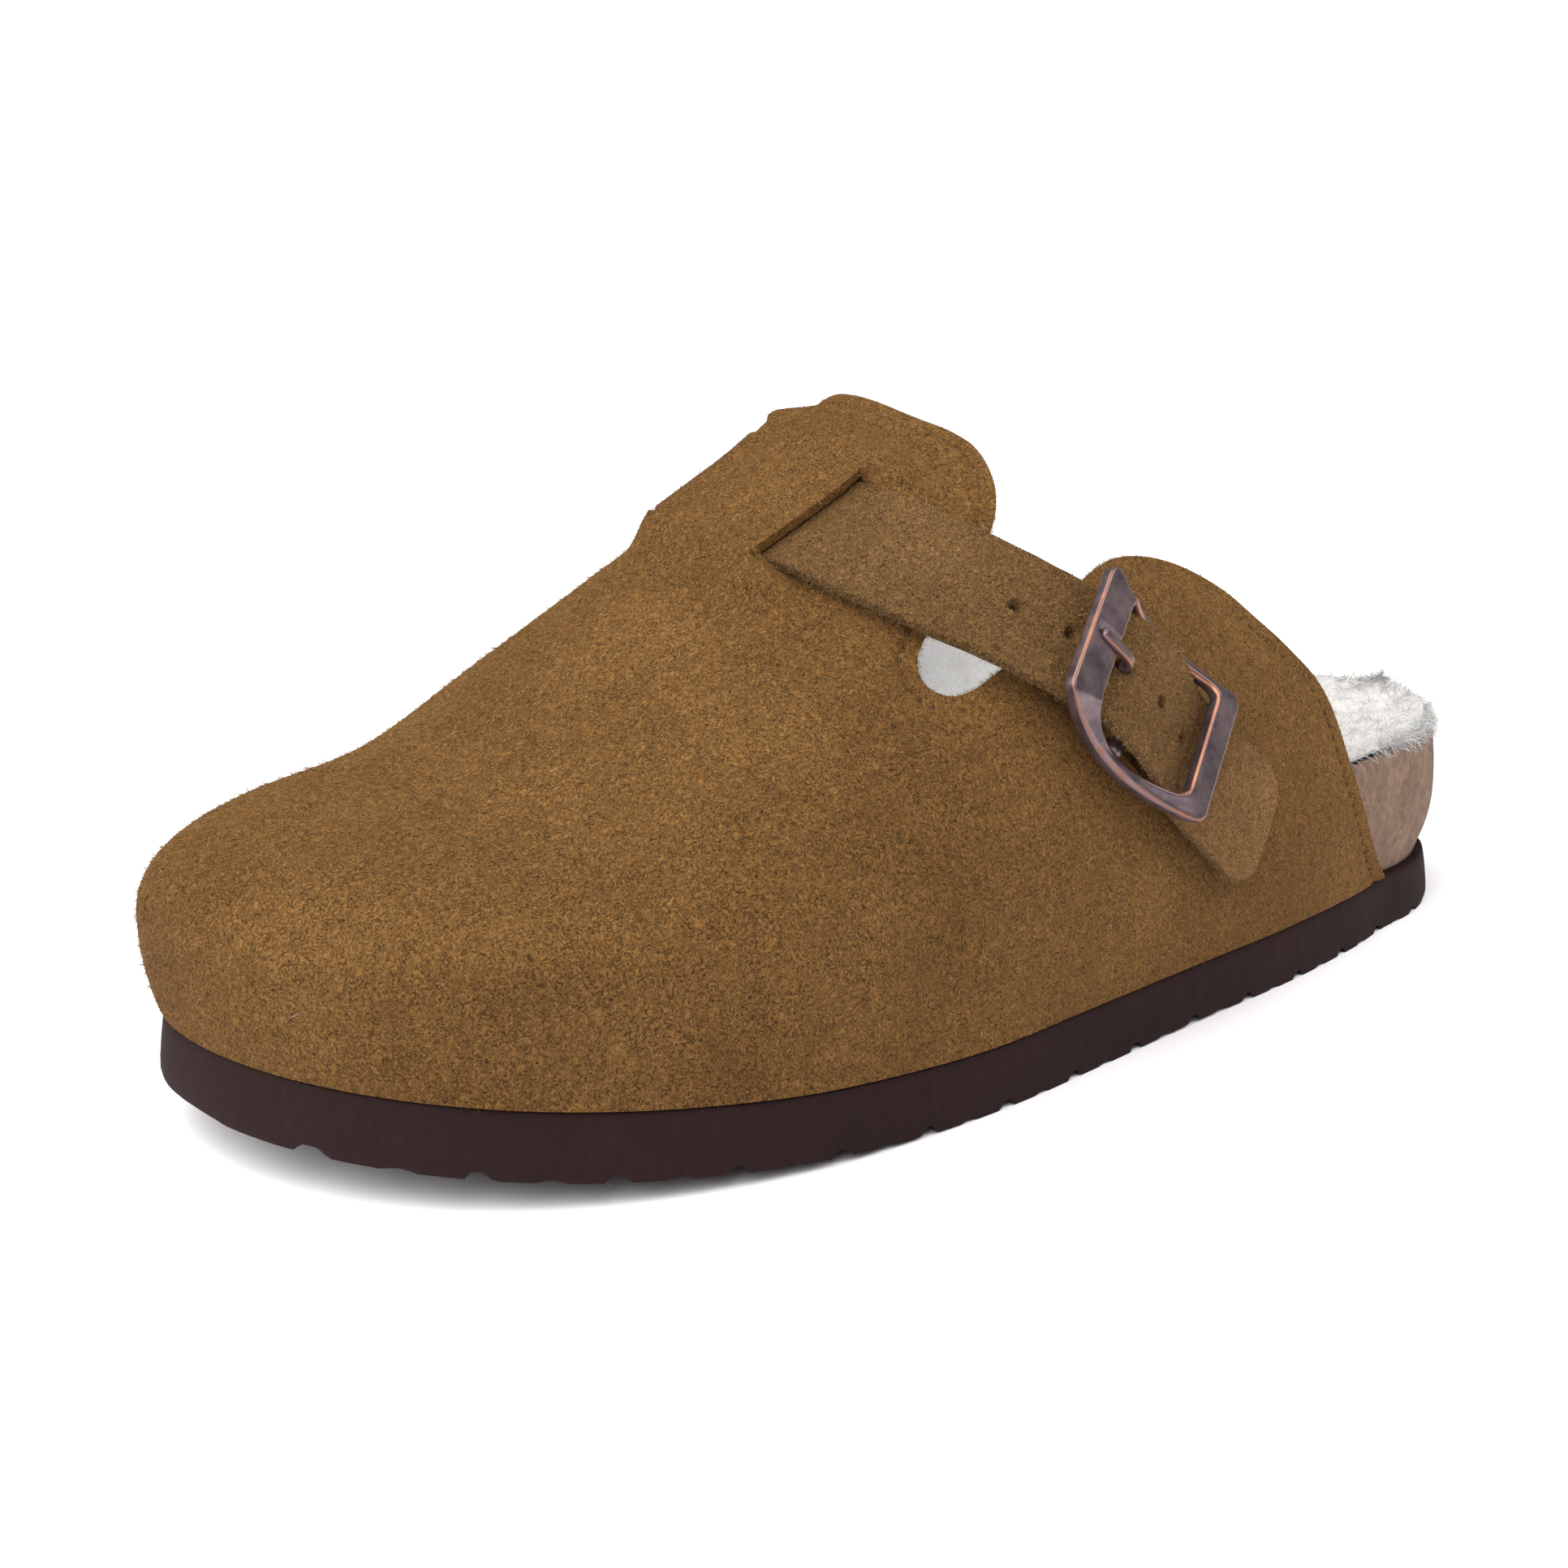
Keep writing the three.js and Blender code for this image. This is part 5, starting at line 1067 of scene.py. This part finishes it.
lean = unit(beyond - roots) + rng.normal(size=roots.shape) * 0.7
fibres("strap_edge_fuzz", roots, lean, 0.95, 0.1, 0.6, frayed_and_highlit, 82, links=2)
along = rng.uniform(strap_ends[0] + 4, strap_ends[1] - 4, STRAP_FIBRES)
aside = rng.uniform(-1, 1, STRAP_FIBRES) * (np.interp(along, s_rows, drawn_in) * STRAP_WIDTH / 2 - 0.8)
clear = np.abs(along[:, None] - holes).min(1) ** 2 + aside ** 2 > (HOLE_RADIUS + 0.4) ** 2
along, aside = along[clear], aside[clear]
roots = strap_point(along, aside, STRAP_THICK - 0.05)
swept = strap_point(along + 1, aside + 0.4, STRAP_THICK - 0.05) - roots
lean = unit(swept) + rng.normal(size=roots.shape) * 0.45
fibres("strap_nap", roots, lean, 1.3, 0.11, 0.6, nap, 83, links=2)

# ---- Buckle
# Cast and antiqued: dark plum-grey copper, rubbed bright along its edges. Flat end bars lie over the
# strap, bowed side bars dip to carry the pin, and a folded suede chape sews the pin to the outer wing.

SIDE_BAR, FRAME_THICK, FRAME_PLAY, FRAME_BOW, FRAME_CORNER, BAR_HEIGHT = 1.9, 2.2, 0.7, 1.3, 2.4, 6.8
SIDE_FULLER, SIDE_DEEPER, WINDOW_CORNER, DIP_SPARED = 0.45, 0.6, 2.2, 0.8
PRONG_WIDTH, PRONG_THICK = 1.9, 1.3
WINDOW_HALF = 0.945 * STRAP_WIDTH / 2 + FRAME_PLAY - 0.2
OUTER_HALF = WINDOW_HALF + SIDE_BAR + SIDE_FULLER
WINDOW_FRONT, WINDOW_REAR = FRONT_BAR - FRAME_LENGTH / 2, FRAME_LENGTH / 2 - REAR_BAR


def on_buckle(points):
    """From the buckle's axes (along the strap, across it, out from the last at the pin) to the shoe's."""
    pin = 16 * PIN_ROW
    return points @ np.stack([rib_along[pin], rib_across[pin], rib_out[pin]]) + rib_point[pin]


def bow(x, across):
    """Share of a side bar's bow and dip: 1 at the pin, 0 at the window's ends along its inner edge and
    close to the frame's corners along its outer edge."""
    reach = np.where(x < 0, -WINDOW_FRONT, WINDOW_REAR)
    reach = reach + (FRAME_LENGTH / 2 - 1.4 - reach) * across
    return np.clip(1 - (x / reach) ** 2, 0, 1)


def round_corner(start, end, radius, count):
    """Even places from start to end: up across the frame, then along it, with an arc between them."""
    toward = np.sign(end[0] - start[0])
    swing = np.linspace(0, np.pi / 2, 24)
    over, up = start[0] + toward * radius * (1 - np.cos(swing)), end[1] - radius * (1 - np.sin(swing))
    arc = np.stack([over, up], -1)
    path = np.vstack([start, arc, end])
    travelled = np.concatenate([[0], np.cumsum(np.linalg.norm(np.diff(path, axis=0), axis=1))])
    where = np.linspace(0, travelled[-1], count)
    return np.stack([np.interp(where, travelled, path[:, k]) for k in (0, 1)], -1)


def half_loop(front, rear, half, radius):
    """One half of the window or the outline, from the middle of the front bar to that of the rear bar."""
    low, shelf = WINDOW_HALF - WINDOW_CORNER, (WINDOW_FRONT + WINDOW_CORNER, WINDOW_REAR - WINDOW_CORNER)
    bars = np.linspace(0, low, 44)[:-1]
    side = np.linspace(*shelf, 72)[1:-1]
    return np.vstack([
        np.stack([0 * bars + front, bars], -1), round_corner((front, low), (shelf[0], half), radius, 26),
        np.stack([side, 0 * side + half], -1), round_corner((rear, low), (shelf[1], half), radius, 26)[::-1],
        np.stack([0 * bars + rear, bars], -1)[::-1],
    ])


def bowed(loop, across):
    """Whole loop from its half, with the side bars bowed outward."""
    loop = np.vstack([loop, (loop * (1, -1))[::-1][1:-1]])
    beside = smooth((np.abs(loop[:, 1]) - 9) / 3)
    outward = np.sign(loop[:, 1]) * FRAME_BOW * bow(loop[:, 0], across) * beside
    return loop + np.stack([0 * beside, outward], -1)


window = bowed(half_loop(WINDOW_FRONT, WINDOW_REAR, WINDOW_HALF, WINDOW_CORNER), 0)
outline = bowed(half_loop(-FRAME_LENGTH / 2, FRAME_LENGTH / 2, OUTER_HALF, FRAME_CORNER), 1)
side_share = bow(window[:, 0], 0) ** 0.5 * smooth((np.abs(window[:, 1]) - 9) / 2)
swing = np.linspace(0, np.pi / 2, 6)
sweep, flat_share = 1 - np.cos(swing), np.linspace(0, 1, 7)[1:-1]
# Section round a bar: share across, inset and rise in edge radii, share up, and how much it is rubbed
section = np.concatenate([
    np.stack([0 * swing, sweep, np.sin(swing) - 1, 0 * swing + 1, np.sin(2 * swing)], -1),
    np.stack([flat_share, 1 - 2 * flat_share, 0 * flat_share, 0 * flat_share + 1, 0 * flat_share], -1),
    np.stack([0 * swing + 1, -sweep[::-1], np.cos(swing) - 1, 0 * swing + 1, np.sin(2 * swing)], -1),
    np.stack([0 * swing + 1, -sweep, 1 - np.sin(swing), 0 * swing, 0.5 * np.sin(2 * swing)], -1),
    np.stack([flat_share[::-1], 2 * flat_share - 1, 0 * flat_share, 0 * flat_share, 0 * flat_share], -1),
    np.stack([0 * swing, sweep[::-1], 1 - np.cos(swing), 0 * swing, 0.5 * np.sin(2 * swing)], -1),
])
edge_radius = 0.5 + 0.5 * side_share[:, None]
direction = outline - window
bar_width = np.linalg.norm(direction, axis=1)[:, None, None]
across = section[:, 0, None] + section[:, 1, None] * edge_radius[..., None] / bar_width
plan = window[:, None] + direction[:, None] * across
deep = SIDE_DEEPER * side_share[:, None]
height = section[:, 3] * (FRAME_THICK + deep) - deep + section[:, 2] * edge_radius
dent = smooth(1 - np.abs(plan[..., 1] - 0.7) / 2.1) * smooth((plan[..., 0] + 18) / 3.5) * (plan[..., 0] < -8)
height = height - 0.95 * dent * section[:, 3]
dip = BAR_HEIGHT + FRAME_THICK / 2 - PIN_HEIGHT - DIP_SPARED
beside = smooth((np.abs(plan[..., 1]) - 9.5) / 1.6)
height = BAR_HEIGHT + height - dip * bow(plan[..., 0], section[:, 0]) * beside
frame_points = np.concatenate([plan, height[..., None]], -1)
inner_edge = np.where(section[:, 0] < 0.5, 0.55, 0.42)
rubbed = section[:, 4] * inner_edge * (1 - 0.4 * side_share[:, None] * (section[:, 0] > 0.5))


def antique(name):
    """Antiqued copper: plum-grey patina on the flats, warm bright metal where it is rubbed."""
    material, tree, surface = finish(name, "#5d4b50", 0.42, Metallic=0.85, Specular_IOR_Level=0.5)
    place = add(tree, "ShaderNodeTexCoord")
    worn = add(tree, "ShaderNodeAttribute", {"attribute_name": "rubbed"})
    cloud = add(tree, "ShaderNodeTexNoise", Vector=(place, "Object"), Scale=240.0, Detail=5.0, Roughness=0.6)
    fine = add(tree, "ShaderNodeTexNoise", Vector=(place, "Object"), Scale=2400.0, Detail=3.0)
    share = add(tree, "ShaderNodeMath", {"operation": "MULTIPLY_ADD"}, n0=(cloud, "Fac"), n1=0.8,
                n2=(worn, "Fac"))
    bright = add(tree, "ShaderNodeValToRGB", Fac=(share, "Value"))
    stops = bright.color_ramp.elements
    stops[0].position, stops[0].color = 0.3, linear("#564a4f")
    stops[1].position, stops[1].color = 1.0, linear("#b07a60")
    for position, colour in ((0.52, "#7a696b"), (0.74, "#82594a")):
        stops.new(position).color = linear(colour)
    tree.links.new(bright.outputs["Color"], surface.inputs["Base Color"])
    sheen = add(tree, "ShaderNodeMapRange", Value=(cloud, "Fac"), To_Min=0.28, To_Max=0.48)
    tree.links.new(sheen.outputs["Result"], surface.inputs["Roughness"])
    raised = add(tree, "ShaderNodeBump", Height=(fine, "Fac"), Strength=0.12, Distance=0.0001)
    tree.links.new(raised.outputs["Normal"], surface.inputs["Normal"])
    return material


def rub(made, amounts):
    """Per-vertex share of rubbed metal, read by the antique finish."""
    layer = made.data.attributes.new("rubbed", "FLOAT", "POINT")
    layer.data.foreach_set("value", np.ascontiguousarray(np.ravel(amounts), dtype=np.float32))


def ring_quads(grid):
    """Quads over a grid of vertex numbers that is closed both ways."""
    onward, beside = np.roll(grid, -1, 0), np.roll(grid, -1, 1)
    return np.stack([grid, onward, np.roll(onward, -1, 1), beside], -1).reshape(-1, 4)


copper = antique("antique_copper")
grid = np.arange(frame_points[..., 0].size).reshape(frame_points.shape[:2])
made = piece("buckle_frame_copper", on_buckle(frame_points.reshape(-1, 3)), ring_quads(grid), copper,
             ["buckle_frame"], sharp=None, merge=False)
rub(made, rubbed)


def rod(route, half_width, half_thick, across, power, count):
    """Closed rod along a route in a plane: rows of rounded sections, narrowed to a point at both ends."""
    turn = np.linspace(0, 2 * np.pi, count, endpoint=False)
    ends = np.concatenate([[0, 0.7, 0.93], np.ones(len(route) - 6), [0.93, 0.7, 0]])[:, None]
    ring = [np.sign(f(turn)) * np.abs(f(turn)) ** (2 / power) for f in (np.cos, np.sin)]
    heading = unit(np.gradient(route, axis=0))
    out = np.cross(across, heading)
    return route[:, None] + (ends * half_width * ring[0])[..., None] * across \
        + (ends * half_thick * ring[1])[..., None] * out[:, None]


REST = BAR_HEIGHT + FRAME_THICK + CLEARANCE + PRONG_THICK / 2 - 0.75
# Prong's route in the buckle's plane: along the strap, out from the last
PRONG_ROUTE = np.array([
    [-LOOP_RADIUS + 0.4, PIN_HEIGHT], [-0.62 * PRONG_REACH, PIN_HEIGHT - 0.5],
    [-0.9 * PRONG_REACH, PIN_HEIGHT - 0.2], [-PRONG_REACH - 0.1, PIN_HEIGHT + 1.4],
    [-PRONG_REACH - 0.5, BAR_HEIGHT + 1.2], [-PRONG_REACH - 1.3, REST - 0.25],
    [-PRONG_REACH - 2.8, REST + 0.1], [WINDOW_FRONT - 4.4, REST - 0.1],
])
line = paced(PRONG_ROUTE, 12)
route = np.stack([line[:, 0], 0 * line[:, 0], line[:, 1]], -1)
ahead = unit(np.gradient(route, axis=0))
route = np.vstack([
    route[:1] - ahead[0] * 0.05, route[:1] - ahead[0] * 0.03, route,
    route[-1:] + ahead[-1] * 0.2, route[-1:] + ahead[-1] * 0.35, route[-1:] + ahead[-1] * 0.42,
])
prong = rod(route, PRONG_WIDTH / 2, PRONG_THICK / 2, np.array([0.0, 1.0, 0.0]), 3.2, 28)
turn = np.linspace(0, 2 * np.pi, 49)[:-1]
loop = LOOP_RADIUS - PRONG_THICK / 2
coil = np.stack([loop * np.cos(turn), 0 * turn, PIN_HEIGHT + loop * np.sin(turn)], -1)
ring_turn = np.linspace(0, 2 * np.pi, 28, endpoint=False)
outward = unit(coil - (0, 0, PIN_HEIGHT))[:, None]
ring = coil[:, None] + np.sin(ring_turn)[:, None] * outward * (PRONG_THICK / 2) * 0.7 \
    + np.cos(ring_turn)[:, None] * np.array([0, PRONG_WIDTH / 2, 0])
grid = np.arange(prong[..., 0].size).reshape(prong.shape[:2])
loop_grid = np.arange(ring[..., 0].size).reshape(ring.shape[:2]) + grid.size
made = piece("buckle_prong_copper", on_buckle(np.concatenate([prong.reshape(-1, 3), ring.reshape(-1, 3)])),
             np.concatenate([quads_of(grid, closed=True)[:, ::-1], ring_quads(loop_grid)[:, ::-1]]), copper,
             ["buckle_prong"], sharp=None, merge=False)
edges_of = np.abs(np.sin(2 * np.linspace(0, 2 * np.pi, 28, endpoint=False))) ** 2
rub(made, np.tile(0.02 + 0.3 * edges_of, len(made.data.vertices) // 28))

pin_half = WINDOW_HALF + FRAME_BOW - CLEARANCE
axle = np.linspace(-pin_half, pin_half, 40)
axle = np.stack([0 * axle, axle, 0 * axle + PIN_HEIGHT], -1)
pin_rod = rod(axle, PIN_RADIUS, PIN_RADIUS, np.array([1.0, 0.0, 0.0]), 2, 28)
grid = np.arange(pin_rod[..., 0].size).reshape(pin_rod.shape[:2])
made = piece("buckle_pin_copper", on_buckle(pin_rod.reshape(-1, 3)), quads_of(grid, closed=True), copper,
             ["buckle_pin"], merge=False)
rub(made, np.full(len(made.data.vertices), 0.2))

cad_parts["buckle_chape"].material_slots[0].material = tan_suede
